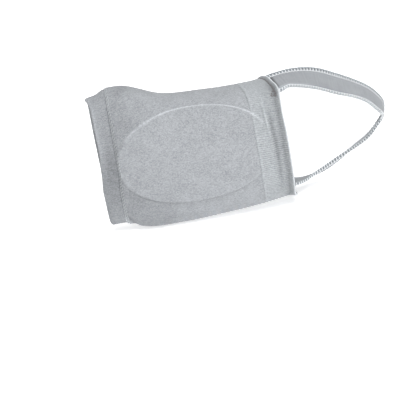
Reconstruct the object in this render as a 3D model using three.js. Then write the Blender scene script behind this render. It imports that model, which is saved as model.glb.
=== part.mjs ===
// Knitted arch support sleeve for a right foot: an elastic tube with a hemmed toe end and a ribbed cuff,
// an oval pad that presses up against the arch, and an elastic strap that loops behind the heel.
// Millimetres. +X runs from the toes to the heel, +Z to the big toe side, and the sole faces -Y.
// The origin is the middle of the pad's foot side, where the arch sits.
import * as THREE from 'three';

// Places along the sole, from toes to heel
const TOE_EDGE = -62;
const HEM_SEAM = -51;
const RIB_SEAM = 38;
const HEEL_EDGE = 58.5;

// Knit walls, measured inward from the outer face
const KNIT_WALL = 1.6;
const HEM_RISE = 0.6;
const CUFF_WALL = 1.8;
const EDGE_ROLL = 0.5;
const EDGE_ROLL_WIDTH = 2.2;
const HEM_FOLD = 1.5;
const SEAM_SINK = 0.5;
const SEAM_SLOPE = 1.6;
const SEAM_GAP = 0.3;

// Oval arch pad and the swell that it makes in the knit
const PAD_HALF_LENGTH = 50;
const PAD_HALF_WIDTH = 34;
const PAD_TILT = THREE.MathUtils.degToRad(3);
const PAD_SWELL = 1.5;
const PAD_SWELL_EDGE = { from: 0.88, to: 1.06 };
const PAD_RISE = 3.4;
const PAD_RIM_RISE = 0.4;
const PAD_CROWN_POWER = 1.2;
const PAD_GAP = 0.5;

// Heel strap, a flat elastic with a thicker overlocked band along both edges
const STRAP_WIDTH = 18;
const STRAP_THICKNESS = 1.3;
const STRAP_BAND = 3;
const STRAP_BAND_THICKNESS = 1.9;
const STRAP_BAND_SLOPE = 0.5;
const STRAP_SEAT_GAP = 0.65;

// Lip of the cuff where the strap comes out from under it
const LIP_LIFT = 2.6;
const LIP_LENGTH = 9;
const LIP_HEIGHT = 37;
const LIP_HALF_WIDTH = 14;
const LIP_FLAT_SHARE = 0.35;

// Fineness of the facets
const ROUND_STEPS = 64;
const BODY_STEPS = 21;
const PAD_STEPS = 40;
const PAD_RINGS = [0.12, 0.35, 0.58, 0.76, 0.88, 0.95];
const PAD_RIM = 0.97;
const HEM_STEPS = 2;
const CUFF_STEPS = 5;
const STRAP_STEPS = 60;
const OUTLINE_STEPS = 360;

// Sections of the sleeve's outer face. medial and lateral are its sides, sole and crown its lowest and
// highest lines, waist the height of its widest line, square the boxiness of its sole half, crownZ the side
// place of its ridge, rake how far the crown leans to the toes, and skew the lean of its sides.
const SECTION_COLUMNS = [
  'x', 'medial', 'lateral', 'sole', 'crown', 'waist', 'square', 'crownZ', 'rake', 'skew',
];
const SECTIONS = [
  [TOE_EDGE, 42.0, -45.5, -2.0, 25.5, 9.5, 2.9, 4, 2, 0.045],
  [HEM_SEAM, 46.5, -45.0, -4.0, 29.5, 10.5, 2.9, 4, 2, 0.03],
  [-40, 47.5, -50.0, -5.0, 33.5, 11.5, 2.9, 4, 3, 0.045],
  [-14, 37.0, -51.5, -5.0, 43.5, 15.5, 2.7, 0, 6, 0.065],
  [12, 33.5, -50.5, -5.0, 52.5, 19.5, 2.6, -2, 9, 0.075],
  [RIB_SEAM, 32.5, -48.0, -4.5, 59.5, 22.5, 2.5, -3, 13, 0.075],
  [HEEL_EDGE, 32.5, -44.5, -3.0, 64.5, 24.5, 2.5, -4, 16, 0.075],
];
const CROWN_ROUNDNESS = 2.1;

// Middle line of the strap from the cuff to the back of the heel on the big toe side. lean is how many
// degrees its upper edge tips outward. The other half mirrors it about the middle plane of the heel.
const STRAP_COLUMNS = ['x', 'y', 'z', 'lean'];
const STRAP_END = { station: 49.5, y: 27.5 };
const STRAP_EXIT = { station: 57.8, y: 29.5 };
const STRAP_FREE = [
  [60, 32.0, 30.5, 10],
  [72, 36.0, 29.1, 20.5],
  [85, 40.5, 25.0, 28.5],
  [98, 44.8, 18.3, 27.5],
  [110, 49.6, 11.7, 20.5],
  [119.9, 52.8, 5.1, 18],
  [127.1, 55.6, -2.3, 18],
  [130.9, 57.0, -7.5, 15],
];
const STRAP_BACK = { x: 131.8, y: 57.2, lean: 11 };
const HEEL_MIDDLE = { x: 52, z: -6, slope: -0.063 };

const UP = new THREE.Vector3(0, 1, 0);

// Smooth reading of a table at any value of its first column
function tableReader(columns, rows) {
  const places = rows.map((row) => row[0]);
  const curve = new THREE.CubicInterpolant(places, rows.flat(), columns.length);
  return (place) => {
    const values = curve.evaluate(place);
    return Object.fromEntries(columns.map((column, i) => [column, values[i]]));
  };
}

const sectionAt = tableReader(SECTION_COLUMNS, SECTIONS);

// Power of a sine or cosine that keeps its sign, for a rounded box outline
function signedPower(value, exponent) {
  return Math.sign(value) * Math.abs(value) ** exponent;
}

// Point of a section's outline at an angle, where a quarter turn below zero is the sole
function outlinePoint(section, angle) {
  const across = Math.cos(angle);
  const upward = Math.sin(angle);
  const exponent = 2 / (upward < 0 ? section.square : CROWN_ROUNDNESS);
  const side = across > 0 ? section.medial - section.crownZ : section.crownZ - section.lateral;
  const rise = upward > 0 ? section.crown - section.waist : section.waist - section.sole;
  const y = section.waist + rise * signedPower(upward, exponent);
  const z = section.crownZ + side * signedPower(across, exponent);
  const height = (y - section.sole) / (section.crown - section.sole);
  const x = section.x - section.skew * z - section.rake * height ** 2;
  return new THREE.Vector3(x, y, z);
}

// Outline of a section with the length walked round it, counted from the sole's middle line at z = 0
function measuredOutline(station) {
  const section = sectionAt(station);
  const points = [];
  for (let i = 0; i <= OUTLINE_STEPS; i += 1) {
    points.push(outlinePoint(section, (i / OUTLINE_STEPS - 0.25) * 2 * Math.PI));
  }
  const walked = [0];
  for (let i = 1; i <= OUTLINE_STEPS; i += 1) {
    walked.push(walked[i - 1] + Math.hypot(points[i].y - points[i - 1].y, points[i].z - points[i - 1].z));
  }
  return { points, walked, girth: walked[OUTLINE_STEPS], middle: -section.crownZ };
}

const outlines = new Map();

function outlineAt(station) {
  if (!outlines.has(station)) {
    outlines.set(station, measuredOutline(station));
  }
  return outlines.get(station);
}

// Point and outward direction on the outer face, a given girth from the sole's middle line
function formPoint(station, girth) {
  const outline = outlineAt(station);
  const walk = THREE.MathUtils.euclideanModulo(girth + outline.middle, outline.girth);
  let step = 1;
  while (outline.walked[step] < walk) {
    step += 1;
  }
  const before = outline.points[step - 1];
  const after = outline.points[step];
  const share = (walk - outline.walked[step - 1]) / (outline.walked[step] - outline.walked[step - 1]);
  const point = before.clone().lerp(after, share);
  const outward = new THREE.Vector3(0, before.z - after.z, after.y - before.y).normalize();
  return { point, outward };
}

// How far out an oval place lies, as a share of the pad's own outline
function padReach(x, girth) {
  const along = x * Math.cos(PAD_TILT) + girth * Math.sin(PAD_TILT);
  const across = girth * Math.cos(PAD_TILT) - x * Math.sin(PAD_TILT);
  return Math.hypot(along / PAD_HALF_LENGTH, across / PAD_HALF_WIDTH);
}

// Swell that the pad makes in the knit
function padSwell(x, girth) {
  const { from, to } = PAD_SWELL_EDGE;
  return PAD_SWELL * (1 - THREE.MathUtils.smoothstep(padReach(x, girth), from, to));
}

// Lip that the strap lifts in the cuff's heel edge
function strapLift(station, height) {
  const length = THREE.MathUtils.smoothstep(station, HEEL_EDGE - LIP_LENGTH, HEEL_EDGE);
  const off = Math.abs(height - LIP_HEIGHT) / LIP_HALF_WIDTH;
  return LIP_LIFT * length * (1 - THREE.MathUtils.smoothstep(off, LIP_FLAT_SHARE, 1));
}

// Place on the sleeve, moved out from the plain outer face with the pad's swell and the strap's lip
function sleevePoint(station, girth, out) {
  const { point, outward } = formPoint(station, girth);
  const relief = padSwell(point.x, girth) + strapLift(station, point.y);
  return point.addScaledVector(outward, out + relief);
}

// Ring of points round the sleeve
function sleeveRing(station, out) {
  const { girth } = outlineAt(station);
  const ring = [];
  for (let i = 0; i < ROUND_STEPS; i += 1) {
    ring.push(sleevePoint(station, (i / ROUND_STEPS - 0.5) * girth, out));
  }
  return ring;
}

// Closed body through rings of equal length: the rings meet end to end, or both ends are capped
function ringBody(rings, meets) {
  const sides = rings[0].length;
  const points = rings.flat();
  const faces = [];
  const last = meets ? rings.length : rings.length - 1;
  for (let r = 0; r < last; r += 1) {
    const next = (r + 1) % rings.length;
    for (let i = 0; i < sides; i += 1) {
      const j = (i + 1) % sides;
      const corners = [r * sides + i, r * sides + j, next * sides + j, next * sides + i];
      faces.push([corners[0], corners[1], corners[2]], [corners[0], corners[2], corners[3]]);
    }
  }
  if (!meets) {
    const capRings = [[0, 1], [rings.length - 1, -1]];
    for (const [r, turn] of capRings) {
      const middle = points.length;
      const sum = rings[r].reduce((total, point) => total.add(point), new THREE.Vector3());
      points.push(sum.divideScalar(sides));
      for (let i = 0; i < sides; i += 1) {
        const edge = [r * sides + i, r * sides + ((i + 1) % sides)];
        faces.push(turn > 0 ? [middle, edge[1], edge[0]] : [middle, edge[0], edge[1]]);
      }
    }
  }
  return facingOut(points, faces);
}

// Geometry of a closed body, with its faces turned outward
function facingOut(points, faces) {
  const volume = faces.reduce((sum, [a, b, c]) => {
    return sum + points[a].dot(points[b].clone().cross(points[c]));
  }, 0);
  const turned = volume < 0 ? faces.map(([a, b, c]) => [a, c, b]) : faces;
  const geometry = new THREE.BufferGeometry().setFromPoints(points);
  geometry.setIndex(turned.flat());
  geometry.computeVertexNormals();
  return geometry;
}

// Evenly spaced values from first to last
function spaced(first, last, steps) {
  return Array.from({ length: steps + 1 }, (_, i) => THREE.MathUtils.lerp(first, last, i / steps));
}

// Tube wall round the foot from a profile of [station, out] pairs that closes on itself
function tubeWall(profile) {
  return ringBody(profile.map(([station, out]) => sleeveRing(station, out)), true);
}

// Doubled hem at the toes, folded at its edge and drawn in at its seam
function toeHem() {
  const seam = HEM_SEAM - SEAM_GAP / 2;
  const fold = TOE_EDGE + HEM_FOLD;
  const outside = spaced(fold, seam - SEAM_SLOPE, HEM_STEPS).map((station) => [station, HEM_RISE]);
  const inside = spaced(seam, fold, HEM_STEPS).map((station) => [station, -KNIT_WALL]);
  return tubeWall([
    [TOE_EDGE, -0.5 * KNIT_WALL],
    [TOE_EDGE + HEM_FOLD / 4, 0.5 * HEM_RISE],
    ...outside,
    [seam, -SEAM_SINK],
    ...inside,
  ]);
}

// Main tube of the sleeve, drawn in at both seams
function sleeveBody() {
  const front = HEM_SEAM + SEAM_GAP / 2;
  const rear = RIB_SEAM - SEAM_GAP / 2;
  const outside = spaced(front + SEAM_SLOPE, rear - SEAM_SLOPE, BODY_STEPS).map((station) => [station, 0]);
  const inside = spaced(rear, front, BODY_STEPS).map((station) => [station, -KNIT_WALL]);
  return tubeWall([[front, -SEAM_SINK], ...outside, [rear, -SEAM_SINK / 2], ...inside]);
}

// Ribbed cuff at the heel end, with a rolled edge
function ribCuff() {
  const front = RIB_SEAM + SEAM_GAP / 2;
  const roll = HEEL_EDGE - EDGE_ROLL_WIDTH;
  const outside = spaced(front + SEAM_SLOPE, roll, CUFF_STEPS).map((station) => [station, 0]);
  const inside = spaced(HEEL_EDGE - CUFF_WALL / 2, front, CUFF_STEPS).map((station) => [station, -CUFF_WALL]);
  return tubeWall([
    [front, -SEAM_SINK / 2],
    ...outside,
    [HEEL_EDGE - EDGE_ROLL_WIDTH / 2, EDGE_ROLL],
    [HEEL_EDGE - EDGE_ROLL_WIDTH / 10, EDGE_ROLL / 2],
    [HEEL_EDGE, -CUFF_WALL / 2],
    ...inside,
  ]);
}

// Place on the form by its true x and its girth, found by moving the station until x agrees
function placeOnForm(x, girth) {
  let station = x;
  let found = formPoint(station, girth);
  for (let round = 0; round < 4; round += 1) {
    station += x - found.point.x;
    found = formPoint(station, girth);
  }
  return found;
}

// Oval ring of the pad at a share of its outline, at a depth given for each place
function padRing(reach, depthAt) {
  const ring = [];
  for (let i = 0; i < PAD_STEPS; i += 1) {
    const angle = (i / PAD_STEPS) * 2 * Math.PI;
    const along = PAD_HALF_LENGTH * reach * Math.cos(angle);
    const across = PAD_HALF_WIDTH * reach * Math.sin(angle);
    const x = along * Math.cos(PAD_TILT) - across * Math.sin(PAD_TILT);
    const girth = along * Math.sin(PAD_TILT) + across * Math.cos(PAD_TILT);
    const { point, outward } = placeOnForm(x, girth);
    ring.push(point.addScaledVector(outward, depthAt(padSwell(x, girth))));
  }
  return ring;
}

// Crowned oval pad: its sole side follows the knit, its foot side rises to fill the arch
function archPad() {
  const soleSide = PAD_RINGS.map((reach) => padRing(reach, (swell) => swell - CUFF_WALL - PAD_GAP));
  const rim = padRing(PAD_RIM, () => -CUFF_WALL - PAD_GAP);
  const footSide = PAD_RINGS.toReversed().map((reach) => {
    const rise = PAD_RIM_RISE + (PAD_RISE - PAD_RIM_RISE) * (1 - reach ** 2) ** PAD_CROWN_POWER;
    return padRing(reach, () => -KNIT_WALL - rise);
  });
  return ringBody([...soleSide, rim, ...footSide], false);
}

// Side place of the cuff's outer face at a height, on the big toe side or the other
function cuffSide(station, y, sign) {
  const section = sectionAt(station);
  const above = y > section.waist;
  const power = above ? CROWN_ROUNDNESS : section.square;
  const rise = above ? section.crown - section.waist : section.waist - section.sole;
  const narrowing = (1 - Math.abs((y - section.waist) / rise) ** power) ** (1 / power);
  const side = sign > 0 ? section.medial : section.lateral;
  return section.crownZ + (side - section.crownZ) * narrowing + sign * strapLift(station, y);
}

// Row of the strap where it lies against the inside of the cuff, touching it along both edge bands
function seatedRow({ station, y }, sign) {
  const section = sectionAt(station);
  const reach = STRAP_WIDTH / 2;
  const upper = cuffSide(station, y + reach, sign);
  const lower = cuffSide(station, y - reach, sign);
  const z = (upper + lower) / 2 - sign * (CUFF_WALL + STRAP_SEAT_GAP + STRAP_BAND_THICKNESS / 2);
  const height = (y - section.sole) / (section.crown - section.sole);
  const x = station - section.skew * z - section.rake * height ** 2;
  const lean = THREE.MathUtils.radToDeg(Math.atan2(sign * (upper - lower), STRAP_WIDTH));
  return [x, y, z, lean];
}

// Side place mirrored about the middle plane of the heel
function mirrored(x, z) {
  return 2 * (HEEL_MIDDLE.z + HEEL_MIDDLE.slope * (x - HEEL_MIDDLE.x)) - z;
}

// Whole loop of the strap as rows of distance, x, y, z and lean
function strapRows() {
  const sewn = [STRAP_END, STRAP_EXIT];
  const medialSewn = sewn.map((place) => seatedRow(place, 1));
  const lateralSewn = sewn.map((place) => seatedRow(place, -1));
  const lateralFree = STRAP_FREE.slice(1).map(([x, y, z, lean]) => [x, y, mirrored(x, z), lean]);
  const backZ = HEEL_MIDDLE.z + HEEL_MIDDLE.slope * (STRAP_BACK.x - HEEL_MIDDLE.x);
  const back = [STRAP_BACK.x, STRAP_BACK.y, backZ, STRAP_BACK.lean];
  const rows = [
    ...medialSewn,
    ...STRAP_FREE,
    back,
    ...lateralFree.toReversed(),
    ...lateralSewn.toReversed(),
  ];
  let distance = 0;
  return rows.map((row, i) => {
    if (i > 0) {
      distance += Math.hypot(...[0, 1, 2].map((k) => row[k] - rows[i - 1][k]));
    }
    return [distance, ...row];
  });
}

// Cross-section of the strap as [across, out] pairs, with its two edge bands
function strapProfile() {
  const half = STRAP_WIDTH / 2;
  const inner = half - STRAP_BAND;
  const face = STRAP_THICKNESS / 2;
  const band = STRAP_BAND_THICKNESS / 2;
  const upperFace = [
    [half, 0],
    [half - STRAP_BAND_SLOPE, band],
    [inner + STRAP_BAND_SLOPE, band],
    [inner, face],
  ];
  const outside = [...upperFace, ...upperFace.toReversed().map(([across, out]) => [-across, out])];
  const inside = outside.slice(1, -1).toReversed().map(([across, out]) => [across, -out]);
  return [...outside, ...inside];
}

// Strap swept along its loop, its width turned to the lean of each place
function heelStrap() {
  const rows = strapRows();
  const length = rows.at(-1)[0];
  const rowAt = tableReader(['distance', ...STRAP_COLUMNS], rows);
  const middleAt = (distance) => {
    const { x, y, z } = rowAt(THREE.MathUtils.clamp(distance, 0, length));
    return new THREE.Vector3(x, y, z);
  };
  const rings = spaced(0, length, STRAP_STEPS).map((distance) => {
    const middle = middleAt(distance);
    const heading = middleAt(distance + 1).sub(middleAt(distance - 1)).normalize();
    const outward = new THREE.Vector3(-heading.z, 0, heading.x).normalize();
    const lean = THREE.MathUtils.degToRad(rowAt(distance).lean);
    const tipped = UP.clone().multiplyScalar(Math.cos(lean)).addScaledVector(outward, Math.sin(lean));
    const across = tipped.addScaledVector(heading, -tipped.dot(heading)).normalize();
    const face = across.clone().cross(heading);
    return strapProfile().map(([wide, out]) => {
      return middle.clone().addScaledVector(across, wide).addScaledVector(face, -out);
    });
  });
  return ringBody(rings, false);
}

// Named piece with its own finish
function piece(name, geometry, color, roughness) {
  const material = new THREE.MeshStandardMaterial({ color, roughness, metalness: 0 });
  const mesh = new THREE.Mesh(geometry, material);
  mesh.name = name;
  return mesh;
}

const support = new THREE.Group();
support.add(
  piece('toe_hem', toeHem(), 0xa8acaf, 0.9),
  piece('sleeve_body', sleeveBody(), 0xb2b6b9, 0.9),
  piece('rib_cuff', ribCuff(), 0xb0b4b7, 0.9),
  piece('arch_pad', archPad(), 0xc6c8c8, 0.7),
  piece('heel_strap', heelStrap(), 0xa5a8ac, 0.85),
);

export default support;
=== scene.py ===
"""Looks of a knitted arch support sleeve with a heel strap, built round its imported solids.

Shapes are worked out in millimetres in the frame of the solids: +X runs from the toe end to the heel end,
+Y from the sole side to the instep side and +Z to the medial side. The mesh of each piece is then made in
metres. A station is a place along the sole, and a girth is a length round the sleeve from the middle line
of the sole.
"""

from __future__ import annotations

import logging
import math
from dataclasses import dataclass, field
from enum import Enum
from typing import Callable, Sequence, Union

import bpy
import numpy as np
from mathutils import Matrix, Vector


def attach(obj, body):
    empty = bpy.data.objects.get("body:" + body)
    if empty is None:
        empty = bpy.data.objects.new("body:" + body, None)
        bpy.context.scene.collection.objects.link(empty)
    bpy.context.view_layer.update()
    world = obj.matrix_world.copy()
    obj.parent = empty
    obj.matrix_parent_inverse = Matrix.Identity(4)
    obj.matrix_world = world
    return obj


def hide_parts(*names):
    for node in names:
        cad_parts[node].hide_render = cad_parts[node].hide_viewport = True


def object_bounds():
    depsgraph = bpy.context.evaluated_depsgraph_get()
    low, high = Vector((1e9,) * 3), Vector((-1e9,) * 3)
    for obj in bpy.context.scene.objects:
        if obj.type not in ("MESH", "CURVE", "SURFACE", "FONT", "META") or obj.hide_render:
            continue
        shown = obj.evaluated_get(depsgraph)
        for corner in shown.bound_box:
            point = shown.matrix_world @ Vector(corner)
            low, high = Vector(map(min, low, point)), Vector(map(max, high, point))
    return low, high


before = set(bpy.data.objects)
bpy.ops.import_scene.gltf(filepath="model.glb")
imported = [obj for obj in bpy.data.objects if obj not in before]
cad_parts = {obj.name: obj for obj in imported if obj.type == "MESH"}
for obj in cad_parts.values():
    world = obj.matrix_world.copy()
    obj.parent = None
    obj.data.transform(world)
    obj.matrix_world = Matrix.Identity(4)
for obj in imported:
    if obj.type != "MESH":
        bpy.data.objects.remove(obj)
CAD_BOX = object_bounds()

LOG = logging.getLogger("arch_support_sleeve")
MM = 0.001
BODY = "root"
WEAVE_MAP = "Weave"
# Point attribute of painted shade, which darkens a colour, or lightens it as painted light below 0
PAINTED_SHADE = "PaintedShade"

Array = np.ndarray
Colour = tuple[float, float, float, float]
Span = tuple[float, float]
Places = tuple[float, ...]


def grey(red: int, green: int, blue: int) -> Colour:
    """Gives the linear colour of three display levels from 0 to 255.

    Args:
        red: level of red.
        green: level of green.
        blue: level of blue.

    Returns:
        Red, green and blue, and 1 for a solid colour.
    """
    levels = [level / 255 for level in (red, green, blue)]
    linear = [v / 12.92 if v <= 0.04045 else ((v + 0.055) / 1.055) ** 2.4 for v in levels]
    return (linear[0], linear[1], linear[2], 1.0)


def smoothstep(value: Array, start: float, end: float) -> Array:
    """Goes smoothly from 0 at start to 1 at end, whichever of the two is larger."""
    share = np.clip((value - start) / (end - start), 0.0, 1.0)
    return share * share * (3.0 - 2.0 * share)


def window(value: Array, *places: float) -> Array:
    """Tells by which share a window is open.

    Args:
        value: where to look.
        places: none for a window that is open everywhere, two between which it opens, or four, of which
            the last two are where it starts to close and is closed.

    Returns:
        Shares from 0 to 1.
    """
    share = smoothstep(value, *places[:2]) if places else np.ones(np.shape(value))
    return share * smoothstep(value, *places[:1:-1]) if places[2:] else share


def hump(value: Array, middle: float, width: float) -> Array:
    """Rises to 1 at the middle and fades within about two widths of it."""
    return np.exp(-(((value - middle) / width) ** 2))


def unit(vectors: Array) -> Array:
    """Scales vectors to length 1."""
    return vectors / np.linalg.norm(vectors, axis=-1, keepdims=True)


class Side(Enum):
    """Face of the knit wall that a ring of points lies on."""

    OUTER = "outer"
    INNER = "inner"


@dataclass(frozen=True)
class Table:
    """Short table of named columns, read smoothly at any value of its first column."""

    columns: tuple[str, ...]
    rows: tuple[tuple[float, ...], ...]

    def read(self, places: Array) -> dict[str, Array]:
        """Reads every column between the rows, on cubic curves through them.

        Args:
            places: values of the first column.

        Returns:
            The columns' values by name, in the shape of places.
        """
        knots = np.array(self.rows, float)
        first = knots[:, 0]
        secants = np.diff(knots, axis=0) / np.diff(first)[:, None]
        slopes = np.vstack([secants[:1], (secants[:-1] + secants[1:]) / 2, secants[-1:]])
        i = np.clip(np.searchsorted(first, places, side="right") - 1, 0, len(first) - 2)
        step = (first[i + 1] - first[i])[..., None]
        t = (places - first[i])[..., None] / step
        start = (1 + 2 * t) * (1 - t) ** 2 * knots[i] + t * (1 - t) ** 2 * step * slopes[i]
        end = t**2 * (3 - 2 * t) * knots[i + 1] - t**2 * (1 - t) * step * slopes[i + 1]
        values = start + end
        return {name: values[..., k] for k, name in enumerate(self.columns)}


@dataclass
class Patch:
    """Part of a mesh: points in millimetres, four-cornered faces and the weave place of each corner.

    Painted shade tells for each point how much its colour is darkened to stand in for shade; below 0 it
    lightens it as painted light.
    """

    points: Array
    faces: Array
    weave: Array
    painted_shade: Array

    @staticmethod
    def skin(
        points: Array,
        weave: Array,
        closes_along: bool,
        closes_round: bool,
        turn: float = 0.0,
        painted_shade: Array | float = 0.0,
    ) -> Patch:
        """Makes faces between rows of points.

        Args:
            points: rows by columns by three.
            weave: rows by columns by two, the place along and around the piece.
            closes_along: whether the last row meets the first.
            closes_round: whether the last column meets the first.
            turn: how far the weave goes round, added where the last column meets the first.
            painted_shade: painted shade, rows by columns, with painted light where below 0.

        Returns:
            The patch.
        """
        rows, columns = points.shape[:2]
        r = np.arange(rows if closes_along else rows - 1)[:, None]
        c = np.arange(columns if closes_round else columns - 1)[None, :]
        corners = [(r, c), (r, c + 1), (r + 1, c + 1), (r + 1, c)]
        faces = np.stack([(i % rows) * columns + j % columns for i, j in corners], -1).reshape(-1, 4)
        wraps = np.stack([np.broadcast_to(j // columns, (len(r), c.size)) for _, j in corners], -1)
        places = weave.reshape(-1, 2)[faces].astype(float)
        places[..., 1] += wraps.reshape(-1, 4) * turn
        painted_tone = np.broadcast_to(painted_shade, (rows, columns)).reshape(-1)
        return Patch(points.reshape(-1, 3), faces, places, painted_tone)

    @staticmethod
    def cap(first: int, sides: int) -> Array:
        """Gives the faces that close a ring with an even number of sides."""
        return np.array([(i, i + 1, sides - 2 - i, sides - 1 - i) for i in range(sides // 2 - 1)]) + first

    def capped(self, sides: int) -> Patch:
        """Closes the first and the last ring of a tube.

        Args:
            sides: how many points a ring has.

        Returns:
            The closed patch.
        """
        last = len(self.points) - sides
        ends = np.concatenate([self.cap(0, sides)[:, ::-1], self.cap(last, sides)])
        places = np.broadcast_to(self.weave[:sides].mean((0, 1)), (len(ends), 4, 2))
        return Patch(
            self.points,
            np.concatenate([self.faces, ends]),
            np.concatenate([self.weave, places]),
            self.painted_shade,
        )

    def facing_out(self) -> Patch:
        """Turns the faces of a closed patch outward.

        Returns:
            The patch itself.
        """
        corners = self.points[self.faces]
        lean = np.cross(corners[:, 2] - corners[:, 0], corners[:, 3] - corners[:, 1])
        if np.sum(corners.mean(1) * lean) < 0:
            self.faces = self.faces[:, ::-1]
            self.weave = self.weave[:, ::-1]
        return self


def tubes(
    paths: Array, normals: Array, radius: float, sides: int = 6, painted_shade: Array | float = 0.0
) -> list[Patch]:
    """Makes closed round threads along paths.

    Args:
        paths: threads by points by three.
        normals: a direction for each point that leads away from the cloth.
        radius: half of a thread's thickness.
        sides: how many sides go round, an even number.
        painted_shade: painted shade of the cloth under each thread, painted into the thread too.

    Returns:
        One patch for each thread.
    """
    heading = unit(np.gradient(paths, axis=1))
    side = unit(np.cross(heading, normals))
    rise = np.cross(side, heading)
    angles = np.arange(sides) / sides * 2 * math.pi
    rings = (
        paths[:, :, None]
        + radius * np.cos(angles)[:, None] * side[:, :, None]
        + radius * np.sin(angles)[:, None] * rise[:, :, None]
    )
    steps = np.linalg.norm(np.diff(paths, axis=1), axis=-1)
    run = np.concatenate([np.zeros((len(paths), 1)), np.cumsum(steps, 1)], 1)
    turn = 2 * math.pi * radius
    around = np.arange(sides) / sides * turn
    painted_tone = np.broadcast_to(painted_shade, len(paths))
    patches = []
    for ring, length, tone in zip(rings, run, painted_tone):
        weave = np.stack(np.broadcast_arrays(length[:, None], around[None, :]), -1)
        patches.append(Patch.skin(ring, weave, False, True, turn, tone).capped(sides).facing_out())
    return patches


def build_piece(name: str, patches: Sequence[Patch], material: bpy.types.Material) -> bpy.types.Object:
    """Joins patches into one smooth object that rides on the part.

    Args:
        name: name of the piece.
        patches: patches in millimetres.
        material: the piece's material.

    Returns:
        The new object.
    """
    starts = np.cumsum([0] + [len(patch.points) for patch in patches])
    points = np.concatenate([patch.points for patch in patches]) * MM
    faces = np.concatenate([patch.faces + start for patch, start in zip(patches, starts)])
    weave = np.concatenate([patch.weave for patch in patches])
    painted_shade = np.concatenate([patch.painted_shade for patch in patches])
    mesh = bpy.data.meshes.new(name)
    mesh.from_pydata(points.tolist(), [], faces.tolist())
    mesh.uv_layers.new(name=WEAVE_MAP).uv.foreach_set("vector", weave.astype(np.float32).ravel())
    # Each point's painted shade goes into the attribute that the materials darken their colour by
    mesh.attributes.new(PAINTED_SHADE, "FLOAT", "POINT").data.foreach_set("value", painted_shade.astype(np.float32))
    mesh.materials.append(material)
    mesh.polygons.foreach_set("use_smooth", np.ones(len(faces), bool))
    mesh.update()
    piece = bpy.data.objects.new(name, mesh)
    bpy.context.scene.collection.objects.link(piece)
    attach(piece, BODY)
    LOG.info("%s: %d points, %d faces", name, len(points), len(faces))
    return piece


Term = Union["Value", float, int, Sequence[float]]


class Value:
    """Socket of a material's nodes that takes part in Python arithmetic."""

    def __init__(self, nodes: Nodes, socket: bpy.types.NodeSocket) -> None:
        """Wraps an output socket."""
        self.nodes = nodes
        self.socket = socket

    def _math(self, operation: str, *terms: Term) -> Value:
        """Adds a Math node on the terms."""
        return self.nodes.add("ShaderNodeMath", {"operation": operation}, dict(enumerate(terms)))

    def __add__(self, other: Term) -> Value:
        """Adds."""
        return self._math("ADD", self, other)

    def __sub__(self, other: Term) -> Value:
        """Subtracts."""
        return self._math("SUBTRACT", self, other)

    def __rsub__(self, other: Term) -> Value:
        """Subtracts this from a number."""
        return self._math("SUBTRACT", other, self)

    def __mul__(self, other: Term) -> Value:
        """Multiplies."""
        return self._math("MULTIPLY", self, other)

    def __truediv__(self, other: Term) -> Value:
        """Divides."""
        return self._math("DIVIDE", self, other)

    def __mod__(self, other: Term) -> Value:
        """Gives what is left above whole multiples."""
        return self._math("FLOORED_MODULO", self, other)

    def __abs__(self) -> Value:
        """Drops the sign."""
        return self._math("ABSOLUTE", self)

    __radd__ = __add__
    __rmul__ = __mul__

    def floor(self) -> Value:
        """Rounds down."""
        return self._math("FLOOR", self)

    def sine(self) -> Value:
        """Gives the sine of an angle in radians."""
        return self._math("SINE", self)

    def between(self, low: float, high: float) -> Value:
        """Rises smoothly from 0 at low to 1 at high."""
        inputs = {"Value": self, "From Min": low, "From Max": high}
        return self.nodes.add("ShaderNodeMapRange", {"interpolation_type": "SMOOTHSTEP"}, inputs)


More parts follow.
